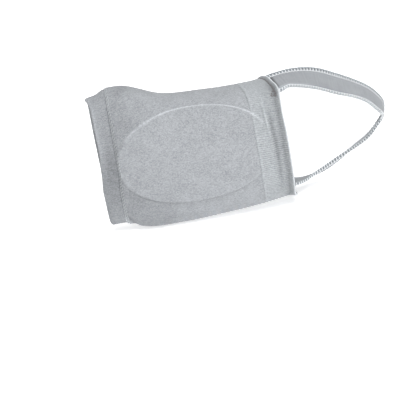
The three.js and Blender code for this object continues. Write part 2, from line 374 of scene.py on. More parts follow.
class Nodes:
    """Nodes of one material, round its shader."""

    def __init__(self, name: str, **shader: Term) -> None:
        """Starts a material.

        Args:
            name: name of the material.
            shader: values of the shader's sockets, the same all over, with _ for a space in the name.
        """
        self.material = bpy.data.materials.new(name)
        self.material.use_nodes = True
        self.tree = self.material.node_tree
        self.shader = next(n for n in self.tree.nodes if n.type == "BSDF_PRINCIPLED")
        for key, value in shader.items():
            self.set(key.replace("_", " "), value)

    def add(
        self,
        kind: str,
        settings: dict[str, object] | None = None,
        inputs: dict[str | int, Term] | None = None,
        output: str | int = 0,
    ) -> Value:
        """Adds a node.

        Args:
            kind: type of the node.
            settings: its own settings, set first.
            inputs: values or links of its sockets, by name or place.
            output: the output that is wanted.

        Returns:
            That output.
        """
        node = self.tree.nodes.new(kind)
        for key, setting in (settings or {}).items():
            setattr(node, key, setting)
        for key, term in (inputs or {}).items():
            self._feed(node.inputs[key], term)
        return Value(self, node.outputs[output])

    def _feed(self, socket: bpy.types.NodeSocket, term: Term) -> None:
        """Links a socket, or sets its value.

        Args:
            socket: the input.
            term: what it takes.
        """
        if isinstance(term, Value):
            self.tree.links.new(term.socket, socket)
        else:
            socket.default_value = term

    def set(self, name: str, term: Term) -> None:
        """Sets or links a socket of the shader."""
        self._feed(self.shader.inputs[name], term)

    def weave(self) -> tuple[Value, Value]:
        """Gives the place along and around the piece, in millimetres.

        Returns:
            Both places.
        """
        place = self.add("ShaderNodeUVMap", {"uv_map": WEAVE_MAP})
        parts = self.add("ShaderNodeSeparateXYZ", None, {0: place})
        return parts, Value(self, parts.socket.node.outputs[1])

    def painted_tone(self, colour: Value, darkening: float = 0.42) -> Value:
        """Darkens a colour by the painted shade, and lightens it by painted light where that is below 0.

        Args:
            colour: the even colour.
            darkening: how much darker it gets at a painted shade of 1.

        Returns:
            The new colour.
        """
        painted_shade = self.add("ShaderNodeAttribute", {"attribute_name": PAINTED_SHADE}, None, "Fac")
        settings = {"data_type": "RGBA", "blend_type": "MULTIPLY"}
        return self.add("ShaderNodeMix", settings, {0: 1.0, 6: colour, 7: 1.0 - painted_shade * darkening}, 2)

    def stitches(self, wale: Value, course: Value) -> tuple[Value, Value]:
        """Draws knit stitches.

        Args:
            wale: place across, in wales.
            course: place along, in courses.

        Returns:
            The height of the V stitches from 0 to 1, and an even tone from 0 to 1 for each of their legs.
        """
        leg = abs((wale * (2 * math.pi)).sine())
        slanted = course + abs(wale % 1.0 - 0.5)
        loop = (slanted % 1.0 * math.pi).sine()
        cell = self.add("ShaderNodeCombineXYZ", None, {0: (wale * 2.0).floor(), 1: slanted.floor()})
        tone = self.add("ShaderNodeTexWhiteNoise", {"noise_dimensions": "2D"}, {"Vector": cell})
        return leg * (loop * 0.5 + 0.5), tone

    def noise(self, size: float, detail: float = 2.0) -> Value:
        """Gives cloudy noise from 0 to 1 whose blotches are about size millimetres wide.

        Args:
            size: width of a blotch.
            detail: how many finer layers there are.

        Returns:
            The noise.
        """
        place = self.add("ShaderNodeTexCoord", None, None, "Object")
        inputs = {"Vector": place, "Scale": 1 / (size * MM), "Detail": detail}
        return self.add("ShaderNodeTexNoise", None, inputs)

    def mix(self, share: Value, first: Term, second: Term) -> Value:
        """Blends two colours."""
        return self.add("ShaderNodeMix", {"data_type": "RGBA"}, {0: share, 6: first, 7: second}, 2)

    def bump(self, height: Value, depth: float, strength: float = 1.0) -> None:
        """Gives the surface a relief of that depth in millimetres."""
        inputs = {"Strength": strength, "Distance": depth * MM, "Height": height}
        self.set("Normal", self.add("ShaderNodeBump", None, inputs))


@dataclass(frozen=True)
class Knit:
    """Fine stretch knit of mottled yarn, with V stitches. Shares tell how much each detail lightens it."""

    name: str
    dark: Colour
    light: Colour
    wale: float = 1.1
    course: float = 0.85
    fibre_size: float = 0.3
    fibre_share: float = 0.3
    blotch_size: float = 0.6
    blotch_share: float = 1.0
    stitch_share: float = 0.25
    yarn_share: float = 0.45
    depth: float = 0.22

    def wales(self, around: Value) -> Value:
        """Gives the place around the piece in wales."""
        return around / self.wale

    def ground(self, nodes: Nodes, around: Value) -> Value:
        """Gives the share of the light colour that lies under the stitches."""
        raise NotImplementedError

    def material(self) -> bpy.types.Material:
        """Builds the material.

        Returns:
            The material.
        """
        sheen = {"Sheen_Weight": 0.12, "Sheen_Roughness": 0.5}
        nodes = Nodes(self.name, Roughness=0.92, Specular_IOR_Level=0.15, **sheen)
        along, around = nodes.weave()
        stitch, yarn = nodes.stitches(self.wales(around), along / self.course)
        fibre = nodes.noise(self.fibre_size, 3.0)
        blotch = nodes.noise(self.blotch_size, 1.0) - 0.5
        share = self.ground(nodes, around) + blotch * self.blotch_share + yarn * self.yarn_share
        share = share + stitch * self.stitch_share + fibre * self.fibre_share
        nodes.set("Base Color", nodes.painted_tone(nodes.mix(share, self.dark, self.light)))
        nodes.bump(stitch * 0.8 + fibre * 0.4, self.depth, 0.7)
        return nodes.material


@dataclass(frozen=True)
class PlainKnit(Knit):
    """Plain knit with cloudy tones."""

    cloud_size: float = 9.0
    cloud_share: float = 0.4

    def ground(self, nodes: Nodes, around: Value) -> Value:
        """Gives wide clouds."""
        return (nodes.noise(self.cloud_size) - 0.5) * self.cloud_share


@dataclass(frozen=True)
class RibKnit(Knit):
    """Ribbed knit, with one rib in each wale."""

    course: float = 0.9
    blotch_share: float = 0.9
    yarn_share: float = 0.35
    depth: float = 0.2
    rib_share: float = 0.1

    def wales(self, around: Value) -> Value:
        """Gives the place around the piece in wales, with a stitch on the crest of each rib."""
        return around / self.wale + 0.25

    def ground(self, nodes: Nodes, around: Value) -> Value:
        """Gives the ribs, lighter on their crests."""
        return ((around * (2 * math.pi / self.wale)).sine() + 1.0) * self.rib_share


@dataclass(frozen=True)
class WovenElastic:
    """Smooth elastic with fine cords along its length and darker selvedges."""

    name: str
    dark: Colour
    light: Colour
    selvedge: Colour
    selvedge_from: float
    selvedge_blend: float = 0.4
    cord: float = 0.55
    cord_share: float = 0.3
    pick: float = 0.7
    fibre_size: float = 0.4
    fibre_share: float = 0.5
    cloud_size: float = 6.0
    cloud_share: float = 0.6
    streaks_per_mm: float = 0.8
    streak_share: float = 0.5
    dimming: float = 0.1
    depth: float = 0.1

    def material(self) -> bpy.types.Material:
        """Builds the material.

        Returns:
            The material.
        """
        sheen = {"Sheen_Weight": 0.1, "Sheen_Roughness": 0.4}
        nodes = Nodes(self.name, Roughness=0.8, Specular_IOR_Level=0.2, **sheen)
        along, around = nodes.weave()
        cords = abs((around * (math.pi / self.cord)).sine())
        picks = abs((along * (math.pi / self.pick)).sine())
        fibre = nodes.noise(self.fibre_size)
        cloud = nodes.noise(self.cloud_size) - 0.5
        run = {"W": along * self.streaks_per_mm, "Scale": 1.0}
        streak = nodes.add("ShaderNodeTexNoise", {"noise_dimensions": "1D"}, run)
        share = cords * self.cord_share + fibre * self.fibre_share + cloud * self.cloud_share
        share = share + streak * self.streak_share - self.dimming
        middle = nodes.mix(share, self.dark, self.light)
        border = abs(around).between(self.selvedge_from, self.selvedge_from + self.selvedge_blend)
        nodes.set("Base Color", nodes.painted_tone(nodes.mix(border, middle, self.selvedge)))
        nodes.bump(cords * 0.6 + picks * 0.3 + fibre * 0.3, self.depth, 0.6)
        return nodes.material


@dataclass(frozen=True)
class TwistedThread:
    """Sewing thread or yarn with a visible twist."""

    name: str
    dark: Colour
    light: Colour
    twist: float = 0.7
    ply_share: float = 0.7
    fibre_size: float = 0.3
    fibre_share: float = 0.5
    depth: float = 0.08

    def material(self) -> bpy.types.Material:
        """Builds the material.

        Returns:
            The material.
        """
        nodes = Nodes(self.name, Roughness=0.7, Sheen_Weight=0.15, Specular_IOR_Level=0.3)
        along, around = nodes.weave()
        ply = abs(((along + around) * (math.pi / self.twist)).sine())
        fibre = nodes.noise(self.fibre_size)
        share = ply * self.ply_share + fibre * self.fibre_share
        nodes.set("Base Color", nodes.painted_tone(nodes.mix(share, self.dark, self.light)))
        nodes.bump(ply * 0.8 + fibre * 0.2, self.depth, 0.6)
        return nodes.material


@dataclass(frozen=True)
class SoftGel:
    """Matt moulded gel with a faint orange peel."""

    name: str
    dark: Colour
    light: Colour
    peel_size: float = 0.8
    cloud_size: float = 14.0
    smoothest: float = 0.38
    depth: float = 0.05

    def material(self) -> bpy.types.Material:
        """Builds the material.

        Returns:
            The material.
        """
        nodes = Nodes(self.name, Subsurface_Weight=0.2, Subsurface_Scale=2 * MM, Specular_IOR_Level=0.4)
        peel = nodes.noise(self.peel_size)
        cloud = nodes.noise(self.cloud_size, 3.0)
        nodes.set("Base Color", nodes.mix(cloud, self.dark, self.light))
        nodes.set("Roughness", cloud * 0.2 + peel * 0.15 + self.smoothest)
        nodes.bump(peel, self.depth, 0.5)
        return nodes.material


@dataclass(frozen=True)
class WornForm:
    """Outer face of the sleeve in its worn form, from sections along the sole.

    In the table, medial and lateral are a section's sides, sole and crown its lowest and highest lines,
    waist the height of its widest line, square the boxiness of its sole half, crown_z the side place of
    its ridge, rake how far the crown leans to the toe end, and skew the lean of its sides.
    """

    toe_edge: float = -62.0
    hem_seam: float = -51.0
    rib_seam: float = 38.0
    heel_edge: float = 58.5
    crown_roundness: float = 2.1
    outline_steps: int = 1080
    sections: Table = Table(
        ("x", "medial", "lateral", "sole", "crown", "waist", "square", "crown_z", "rake", "skew"),
        (
            (-62.0, 42.0, -45.5, -2.0, 25.5, 9.5, 2.9, 4, 2, 0.045),
            (-51.0, 46.5, -45.0, -4.0, 29.5, 10.5, 2.9, 4, 2, 0.03),
            (-40.0, 47.5, -50.0, -5.0, 33.5, 11.5, 2.9, 4, 3, 0.045),
            (-14.0, 37.0, -51.5, -5.0, 43.5, 15.5, 2.7, 0, 6, 0.065),
            (12.0, 33.5, -50.5, -5.0, 52.5, 19.5, 2.6, -2, 9, 0.075),
            (38.0, 32.5, -48.0, -4.5, 59.5, 22.5, 2.5, -3, 13, 0.075),
            (58.5, 32.5, -44.5, -3.0, 64.5, 24.5, 2.5, -4, 16, 0.075),
        ),
    )

    def outlines(self, stations: Array) -> tuple[Array, Array, Array]:
        """Walks round the sections at stations.

        Args:
            stations: places along the sole.

        Returns:
            Points, outward directions, and the length walked from the sole's middle line at z = 0.
        """
        section = {name: values[:, None] for name, values in self.sections.read(stations).items()}
        angles = (np.arange(self.outline_steps + 1) / self.outline_steps - 0.25) * 2 * math.pi
        across = np.cos(angles)[None, :]
        upward = np.sin(angles)[None, :]
        exponent = 2 / np.where(upward < 0, section["square"], self.crown_roundness)
        medial = section["medial"] - section["crown_z"]
        lateral = section["crown_z"] - section["lateral"]
        side = np.where(across > 0, medial, lateral)
        above, below = section["crown"] - section["waist"], section["waist"] - section["sole"]
        rise = np.where(upward > 0, above, below)
        y = section["waist"] + rise * np.sign(upward) * np.abs(upward) ** exponent
        z = section["crown_z"] + side * np.sign(across) * np.abs(across) ** exponent
        height = (y - section["sole"]) / (section["crown"] - section["sole"])
        x = section["x"] - section["skew"] * z - section["rake"] * height**2
        dy = np.roll(y[:, :-1], -1, 1) - np.roll(y[:, :-1], 1, 1)
        dz = np.roll(z[:, :-1], -1, 1) - np.roll(z[:, :-1], 1, 1)
        outward = unit(np.stack([np.zeros_like(dy), -dz, dy], -1))
        outward = np.concatenate([outward, outward[:, :1]], 1)
        steps = np.hypot(np.diff(y, axis=1), np.diff(z, axis=1))
        walked = np.concatenate([np.zeros((len(y), 1)), np.cumsum(steps, 1)], 1)
        return np.stack([x, y, z], -1), outward, walked + section["crown_z"]

    def girth(self, station: float) -> float:
        """Gives the length round the section at a station."""
        walked = self.outlines(np.array([station]))[2][0]
        return float(walked[-1] - walked[0])

    def lay(self, stations: Array, girths: Array, as_shares: bool = False) -> tuple[Array, Array, Array]:
        """Finds places on the outer face.

        Args:
            stations: places along the sole, one for each row.
            girths: rows by columns of lengths round the section from the sole's middle line.
            as_shares: whether girths are shares of the whole way round instead.

        Returns:
            Points, outward directions and girths.
        """
        outline, outward, walked = self.outlines(stations)
        span = (walked[:, -1] - walked[:, 0])[:, None]
        around = girths * span if as_shares else girths
        walk = np.mod(around - walked[:, :1], span) + walked[:, :1]
        points = np.empty(around.shape + (3,))
        directions = np.empty_like(points)
        for r in range(len(walk)):
            for k in range(3):
                points[r, :, k] = np.interp(walk[r], walked[r], outline[r, :, k])
                directions[r, :, k] = np.interp(walk[r], walked[r], outward[r, :, k])
        return points, unit(directions), around


@dataclass(frozen=True)
class PadOval:
    """Oval of the arch pad as it lies on the sole."""

    half_length: float = 50.0
    half_width: float = 34.0
    middle_x: float = 0.0
    middle_girth: float = 0.0
    tilt: float = math.radians(3)
    bluntness: float = 2.0

    def reach(self, x: Array, girth: Array) -> Array:
        """Tells how far out a place lies, as a share of the oval's own outline.

        Args:
            x: places along the sole.
            girth: places round the sleeve.

        Returns:
            The shares.
        """
        ahead = x - self.middle_x
        side = girth - self.middle_girth
        along = ahead * math.cos(self.tilt) + side * math.sin(self.tilt)
        across = side * math.cos(self.tilt) - ahead * math.sin(self.tilt)
        ahead_share = np.abs(along / self.half_length) ** self.bluntness
        side_share = np.abs(across / self.half_width) ** self.bluntness
        return (ahead_share + side_share) ** (1 / self.bluntness)

    def ring(self, reach: float, steps: int) -> tuple[Array, Array]:
        """Gives x and girth round a plain oval at a share of its outline.

        Args:
            reach: share of the outline.
            steps: how many places there are.

        Returns:
            The places along and round the sleeve.
        """
        angles = np.arange(steps) / steps * 2 * math.pi
        along = self.half_length * reach * np.cos(angles)
        across = self.half_width * reach * np.sin(angles)
        x = along * math.cos(self.tilt) - across * math.sin(self.tilt) + self.middle_x
        return x, along * math.sin(self.tilt) + across * math.cos(self.tilt) + self.middle_girth


# Girths between which several forms show
SOLE_HALF: Places = (-95.0, -70.0, 70.0, 95.0)
SEWN_WELT: Places = (30.5, 36.0, 76.0, 86.0)
EDGE_VALLEY: Places = (-58.0, -36.0, 40.0, 60.0)
UPPER_RIM: Places = (13.0, 23.0)


@dataclass(frozen=True)
class Ridge:
    """Smooth rise along a line round the sleeve, or a groove where its height is below 0.

    Its sides are the girths between which it comes up and goes down again, as the places of a window.
    """

    height: float
    station: float
    length: float
    sides: Places = ()

    def at(self, station: Array, girth: Array) -> Array:
        """Gives its height at places."""
        return self.height * hump(station, self.station, self.length) * window(girth, *self.sides)


@dataclass(frozen=True)
class Dent:
    """Smooth rise round one place of the sleeve, or a hollow where its height is below 0."""

    height: float
    station: float
    length: float
    girth: float
    width: float

    def at(self, station: Array, girth: Array) -> Array:
        """Gives its height at places."""
        along = hump(station, self.station, self.length)
        return self.height * along * hump(girth, self.girth, self.width)


@dataclass(frozen=True)
class Crease:
    """Crease that runs straight from its start to its end, each a station and a girth."""

    start: Span
    end: Span
    height: float
    width: float

    def at(self, station: Array, girth: Array) -> Array:
        """Gives its height at places.

        Args:
            station: places along the sole.
            girth: places round the sleeve.

        Returns:
            The heights.
        """
        run = np.subtract(self.end, self.start)
        length = float(np.hypot(*run))
        ahead = station - self.start[0]
        aside = girth - self.start[1]
        along = (ahead * run[0] + aside * run[1]) / length
        off = (ahead * run[1] - aside * run[0]) / length
        fade = window(along, 0.0, length / 3, length * 2 / 3, length)
        return self.height * fade * hump(off, 0.0, self.width)


@dataclass(frozen=True)
class Area:
    """Amount that holds in an area of the sleeve. Its sides and ends are the places of windows."""

    amount: float
    sides: Places
    ends: Places

    def at(self, station: Array, girth: Array) -> Array:
        """Gives the amount at places."""
        return self.amount * window(girth, *self.sides) * window(station, *self.ends)


Form = Union[Ridge, Dent, Crease, Area]


def added(forms: Sequence[Form], station: Array, girth: Array) -> Array:
    """Adds up the heights or amounts of forms at places."""
    return sum(form.at(station, girth) for form in forms)


@dataclass(frozen=True)
class KnitPaintedShade:
    """Paints shade into the worn knit's colour where its valleys, folds, creases and seams are, and painted
    light where this is below 0.

    A name with side is for girths, one with start or end for stations, and other numbers are amounts of
    painted shade; names such as valley, slack, fold and crease tell where it lies. The pad's rim gets a
    painted highlight on its upper side, weaker in the cuff, and a painted shadow on its lower side.
    """

    pad_edge: Span = (0.97, 1.03)
    valley: float = 0.64
    valley_hump: Span = (0.0, 22.0)
    valley_lag: float = 2.0
    valley_lag_side: Span = (0.0, 14.0)
    valley_start: Span = (-62.0, -56.0)
    valley_end: Span = (-47.5, -50.5)
    slack_start: Span = (-52.0, -50.0)
    slack_end: Span = (-2.0, -36.0)
    slack_lead: float = 16.0
    slack_lead_side: Span = (-10.0, 15.0)
    slack: float = 0.14
    slack_past_pad: float = 0.26
    slack_eased: float = 0.14
    slack_eased_side: Span = (30.0, 46.0)
    toe_spots: tuple[Dent, ...] = (Dent(0.16, -44.0, 5.0, -22.0, 9.0), Dent(0.16, -41.0, 6.0, 25.0, 12.0))
    # Painted shade over the hem's lower side and in its seam's groove, and along the fold a painted
    # highlight above with painted shade below
    toe_forms: tuple[Form, ...] = (
        Area(0.2, (6.0, -30.0), (-50.0, -52.0)),
        Ridge(0.15, -51.4, 0.9, (14.0, 26.0)),
        Ridge(-0.7, -60.8, 1.1, (-4.0, 18.0)),
        Ridge(0.25, -60.8, 1.1),
    )
    # Painted shade over the cuff's last part, in the valley by its edge, at the rib seam and in the welt's
    # groove, with a faint painted highlight beside the rib seam
    heel_forms: tuple[Form, ...] = (
        Area(0.22, EDGE_VALLEY, (46.0, 50.0)),
        Ridge(0.62, 55.3, 1.8, EDGE_VALLEY),
        Ridge(0.25, 38.1, 0.5),
        Ridge(-0.16, 39.2, 0.6),
        Ridge(0.8, 56.3, 0.7, SEWN_WELT),
    )
    fold: float = 0.55
    fold_hump: Span = (1.3, 1.2)
    crease: float = 0.9
    rim_hump: Span = (1.0, 0.018)
    # Painted highlight along the pad's upper rim, weaker in the cuff, and a painted shadow along its lower
    # rim
    rim_areas: tuple[Area, ...] = (
        Area(-1.1, UPPER_RIM, (50.0, 44.0)),
        Area(-0.66, UPPER_RIM, (-28.0, -4.0, 44.0, 50.0)),
        Area(0.528, UPPER_RIM, (20.0, 36.0, 44.0, 50.0)),
        Area(0.4928, UPPER_RIM, (38.0, 39.0, 44.0, 50.0)),
        Area(0.7, (-8.0, -22.0), (-46.0, -26.0, 20.0, 34.0)),
    )

    def toe(self, station: Array, girth: Array, outside: Array) -> Array:
        """Tells the painted shade of the toe valley, of the knit behind the hem and along the hem's lines.

        Args:
            station: places along the sole.
            girth: places round the sleeve.
            outside: shares by which the places lie outside the pad.

        Returns:
            The amounts.
        """
        start = station - self.valley_lag * smoothstep(girth, *self.valley_lag_side)
        valley = smoothstep(start, *self.valley_start) * smoothstep(station, *self.valley_end)
        valley = self.valley * valley * hump(girth, *self.valley_hump)
        end = station + self.slack_lead * smoothstep(girth, *self.slack_lead_side)
        slack = smoothstep(station, *self.slack_start) * smoothstep(end, *self.slack_end)
        eased = self.slack_eased * smoothstep(girth, *self.slack_eased_side)
        slack = slack * (self.slack + self.slack_past_pad * outside - eased)
        spots = added(self.toe_spots, station, girth)
        return outside * (valley + spots) + slack + added(self.toe_forms, station, girth)

    def heel(self, sleeve: Sleeve, station: Array, girth: Array) -> Array:
        """Tells the cuff's painted shade: the fold behind the pad, the valley next to the edge and the
        seams.

        Args:
            sleeve: the surface of the sleeve.
            station: places along the sole.
            girth: places round the sleeve.

        Returns:
            The amounts.
        """
        fold = self.fold * sleeve.folded(station, girth, self.fold_hump)
        creases = self.crease * added(sleeve.creases, station, girth)
        return fold + added(self.heel_forms, station, girth) - creases

    def painted_shade(self, sleeve: Sleeve, station: Array, girth: Array, point: Array) -> Array:
        """Tells the painted shade for the whole sleeve.

        Args:
            sleeve: the surface of the sleeve.
            station: places along the sole.
            girth: places round the sleeve.
            point: the same places on the plain form.

        Returns:
            The painted shade, with painted light where below 0.
        """
        reach = sleeve.shown_oval.reach(point[..., 0], girth)
        toe = self.toe(station, girth, smoothstep(reach, *self.pad_edge))
        rim = hump(reach, *self.rim_hump) * added(self.rim_areas, station, girth)
        return window(girth, *SOLE_HALF) * toe + self.heel(sleeve, station, girth) + rim


@dataclass(frozen=True)
class Sleeve:
    """Surface of the sleeve: its worn form with the pad's swell, the strap's lip and creases.

    Names with sides are girths between which something shows. A hump is a rise's middle and width.
    """

    form: WornForm = WornForm()
    oval: PadOval = PadOval()
    shown_oval: PadOval = PadOval(49.2, 32.2, -1.5, 1.4, math.radians(2.6), 2.15)
    tone: KnitPaintedShade = KnitPaintedShade()
    swell: float = 1.5
    soft_edge: Span = (0.88, 1.06)
    crisp_edge: Span = (0.984, 1.016)
    crisp_share: float = 0.8
    crisp_end: Span = (42.0, 36.0)
    lip_lift: float = 2.6
    lip_inner: float = 1.85
    lip_slow: float = 0.75
    lip_quick: float = 1.05
    lip_length: float = 9.0
    lip_height: float = 37.0
    lip_half_width: float = 14.0
    lip_flat_share: float = 0.35
    welt_width: float = 1.7
    welt_slope: Span = (-0.4, 0.9)
    welt_rise: float = 0.35
    welt_loss: float = 0.5
    welt_loss_sides: Span = (54.0, 64.0)
    groove: float = 0.4
    groove_hump: Span = (-0.6, 0.6)
    fold: float = 0.8
    fold_hump: Span = (1.3, 1.3)
    fold_sides: Places = (-46.0, -6.0, 13.0, 30.0)
    fold_station: float = 49.2
    fold_curve: float = 0.003
    fold_curve_sides: Span = (-3.0, 12.0)
    fold_slant: float = 0.055
    sway: float = 0.12
    sway_lengths: Places = (7.0, 19.0, 11.0, 23.0)
    corner: float = 1.3
    corner_hump: Span = (-54.0, 11.0)
    corner_start: float = 50.0
    edge_reach_length: float = 5.0
    lip_reach: float = 0.6
    lip_reach_loss: float = 0.75
    lip_reach_loss_sides: Span = (46.0, 58.0)
    lip_end_reach: float = 1.5
    lip_end_hump: Span = (42.0, 11.0)
    corner_reach: float = 3.4
    corner_reach_hump: Span = (-54.0, 9.0)
    middle_reach: float = -0.5
    middle_reach_hump: Span = (20.0, 9.0)
    toe_bends: tuple[Area, ...] = (
        Area(1.2, (-4.0, 10.0, 36.0, 48.0), (-52.0, -61.0)),
        Area(-1.2, (-50.0, -38.0, -18.0, -4.0), (-42.0, -51.0)),
    )
    ear_reach: float = -1.4
    ear_hump: Span = (50.5, 5.0)
    ear_fade: Span = (-57.0, -62.0)
    creases: tuple[Crease, ...] = (
        Crease((-52.2, -33.0), (-47.6, -55.0), 0.7, 1.4),
        Crease((-49.4, -35.0), (-44.0, -55.0), -0.4, 1.3),
        Crease((-47.2, -42.0), (-41.0, -58.0), 0.4, 1.2),
        Crease((46.0, 33.0), (47.7, 3.0), 0.6, 0.7),
        Crease((44.9, 33.0), (46.5, 5.0), -0.36, 0.7),
        Crease((49.0, -33.0), (52.5, -48.0), 0.3, 1.0),
        Crease((-47.0, 42.0), (-36.0, 60.0), -0.3, 4.0),
    )
    toe_dents: tuple[Dent, ...] = (
        Dent(-1.1, -53.8, 3.6, 1.0, 22.0),
        Dent(0.6, -49.0, 3.5, 56.0, 9.0),
        Dent(-0.7, -57.0, 3.0, 56.0, 9.0),
    )
    seam_ridges: tuple[Ridge, ...] = (
        Ridge(-0.5, 55.4, 1.5, EDGE_VALLEY),
        Ridge(0.2, WornForm.rib_seam, 1.2, (-95.0, -70.0, 12.0, 36.0)),
        Ridge(-0.3, WornForm.rib_seam, 0.7, (25.0, 45.0, 70.0, 95.0)),
        Ridge(0.25, WornForm.hem_seam, 0.9, (-95.0, -70.0, -36.0, -22.0)),
    )

    def pad_swell(self, x: Array, girth: Array, crispness: Array | float) -> Array:
        """Gives the swell that the pad makes, with a crisp step at its rim by a share.

        Args:
            x: places along the sole.
            girth: places round the sleeve.
            crispness: share of the crisp step.

        Returns:
            How far the knit swells.
        """
        soft = 1 - smoothstep(self.oval.reach(x, girth), *self.soft_edge)
        crisp = 1 - smoothstep(self.shown_oval.reach(x, girth), *self.crisp_edge)
        return self.swell * (soft + (crisp - soft) * crispness)

    def lip_window(self, y: Array) -> Array:
        """Is 1 at the heights where the strap lifts the cuff, and 0 away from them."""
        off = np.abs(y - self.lip_height) / self.lip_half_width
        return 1 - smoothstep(off, self.lip_flat_share, 1.0)

    def fold_line(self, girth: Array) -> Array:
        """Gives the station of the fold behind the pad, which bends to the toe end on the medial side.

        Args:
            girth: places round the sleeve.

        Returns:
            The stations.
        """
        start, end = self.fold_curve_sides
        curve = self.fold_curve * np.clip(girth - start, 0.0, end - start) ** 2
        return self.fold_station - curve - self.fold_slant * np.clip(girth - end, 0.0, None)

    def folded(self, station: Array, girth: Array, profile: Span) -> Array:
        """Gives the fold behind the pad as a share, with the middle and width of its profile."""
        return window(girth, *self.fold_sides) * hump(station - self.fold_line(girth), *profile)

    def lip(self, station: Array, girth: Array, point: Array) -> Array:
        """Gives the lift of the cuff's edge over the strap, with its welt and the groove sewn along it.

        Args:
            station: places along the sole.
            girth: places round the sleeve.
            point: the same places on the plain form.

        Returns:
            The lift.
        """
        edge = self.form.heel_edge
        past_welt = station - (edge - self.welt_width)
        lifted = self.lip_window(point[..., 1])
        sewn = window(girth, *SEWN_WELT)
        slow = self.lip_slow * smoothstep(station, edge - self.lip_length, edge)
        quick = smoothstep(past_welt, *self.welt_slope)
        quick = quick * (1 - self.welt_loss * smoothstep(girth, *self.welt_loss_sides))
        rise = lifted * (slow + self.lip_quick * quick) + self.welt_rise * sewn * quick * (1 - lifted)
        groove = self.groove * np.maximum(sewn, lifted * (girth < 0))
        return rise - groove * hump(past_welt, *self.groove_hump)

    def inner_relief(self, station: Array, girth: Array, point: Array) -> Array:
        """Gives the smooth relief of the inner face.

        Args:
            station: places along the sole.
            girth: places round the sleeve.
            point: the same places on the plain form.

        Returns:
            The relief.
        """
        length = smoothstep(station, self.form.heel_edge - self.lip_length, self.form.heel_edge)
        lift = self.lip_inner * length * self.lip_window(point[..., 1])
        return self.pad_swell(point[..., 0], girth, 0.0) + lift

    def outer_relief(self, station: Array, girth: Array, point: Array) -> Array:
        """Gives the relief of the outer face, with its steps, valleys and creases.

        Args:
            station: places along the sole.
            girth: places round the sleeve.
            point: the same places on the plain form.

        Returns:
            The relief.
        """
        crispness = self.crisp_share * smoothstep(station, *self.crisp_end)
        swell = self.pad_swell(point[..., 0], girth, crispness)
        fold = self.fold * self.folded(station, girth, self.fold_hump)
        a, b, c, d = self.sway_lengths
        sway = self.sway * np.sin(station / a + girth / b) * np.sin(girth / c - station / d)
        corner = self.corner * hump(girth, *self.corner_hump)
        corner = corner * smoothstep(station, self.corner_start, self.form.heel_edge) ** 2
        cloth = added((*self.creases, *self.toe_dents, *self.seam_ridges), station, girth)
        cloth = cloth + window(girth, *SOLE_HALF) * sway
        return swell + self.lip(station, girth, point) - fold + corner + cloth

    def flare(self, station: Array, girth: Array, point: Array) -> Array:
        """Tells how far both edges reach past their plain sections, with a bent hem at the toe end.

        Args:
            station: places along the sole.
            girth: places round the sleeve.
            point: the same places on the plain form.

        Returns:
            The reach.
        """
        edge = self.form.heel_edge
        lip = self.lip_reach * self.lip_window(point[..., 1]) * (girth > 0)
        lip = lip + self.lip_end_reach * hump(girth, *self.lip_end_hump)
        lip = lip * (1 - self.lip_reach_loss * smoothstep(girth, *self.lip_reach_loss_sides))
        corner = self.corner_reach * hump(girth, *self.corner_reach_hump)
        middle = self.middle_reach * hump(girth, *self.middle_reach_hump)
        heel = smoothstep(station, edge - self.edge_reach_length, edge) * (lip + corner + middle)
        ear = self.ear_reach * hump(girth, *self.ear_hump) * smoothstep(station, *self.ear_fade)
        return heel + ear + added(self.toe_bends, station, girth)

    def painted_shade(self, station: Array, girth: Array, point: Array) -> Array:
        """Tells how much shade is painted into the knit, with painted light where this is below 0."""
        return self.tone.painted_shade(self, station, girth, point)

    def rings(
        self, stations: Array, outs: Array, outer: Array, shares: Array
    ) -> tuple[Array, Array, Array]:
        """Lays rings of points round the sleeve.

        Args:
            stations: place of each ring along the sole.
            outs: how far each ring lies out from the plain form.
            outer: whether each ring follows the outer face, as a column.
            shares: places round the sleeve as shares of the girth, from the sole's middle line.

        Returns:
            Points, outward directions and the painted shade, by rings and shares.
        """
        girths = np.broadcast_to(shares, (len(stations), len(shares)))
        points, outward, around = self.form.lay(stations, girths, True)
        rows = stations[:, None]
        inner_relief = self.inner_relief(rows, around, points)
        relief = np.where(outer, self.outer_relief(rows, around, points), inner_relief)
        flare = self.flare(rows, around, points)
        painted_tone = self.painted_shade(rows, around, points)
        points = points + outward * (outs[:, None] + relief)[..., None]
        points[..., 0] += flare
        return points, outward, painted_tone

    def spots(self, stations: Array, girths: Array, outs: Array | float) -> tuple[Array, Array]:
        """Finds the places of threads on the outer face.

        Args:
            stations: places along the sole, threads by points or the same for each thread.
            girths: places round the sleeve, threads by points.
            outs: how far the places lie out from the face.

        Returns:
            Points and outward directions, by threads and points.
        """
        stations, girths = np.broadcast_arrays(stations, girths)
        points, outward, _ = self.form.lay(stations.ravel(), girths.reshape(-1, 1))
        points, outward = points.reshape(*girths.shape, 3), outward.reshape(*girths.shape, 3)
        relief = self.outer_relief(stations, girths, points)
        flare = self.flare(stations, girths, points)
        points = points + outward * (relief + outs)[..., None]
        points[..., 0] += flare
        return points, outward


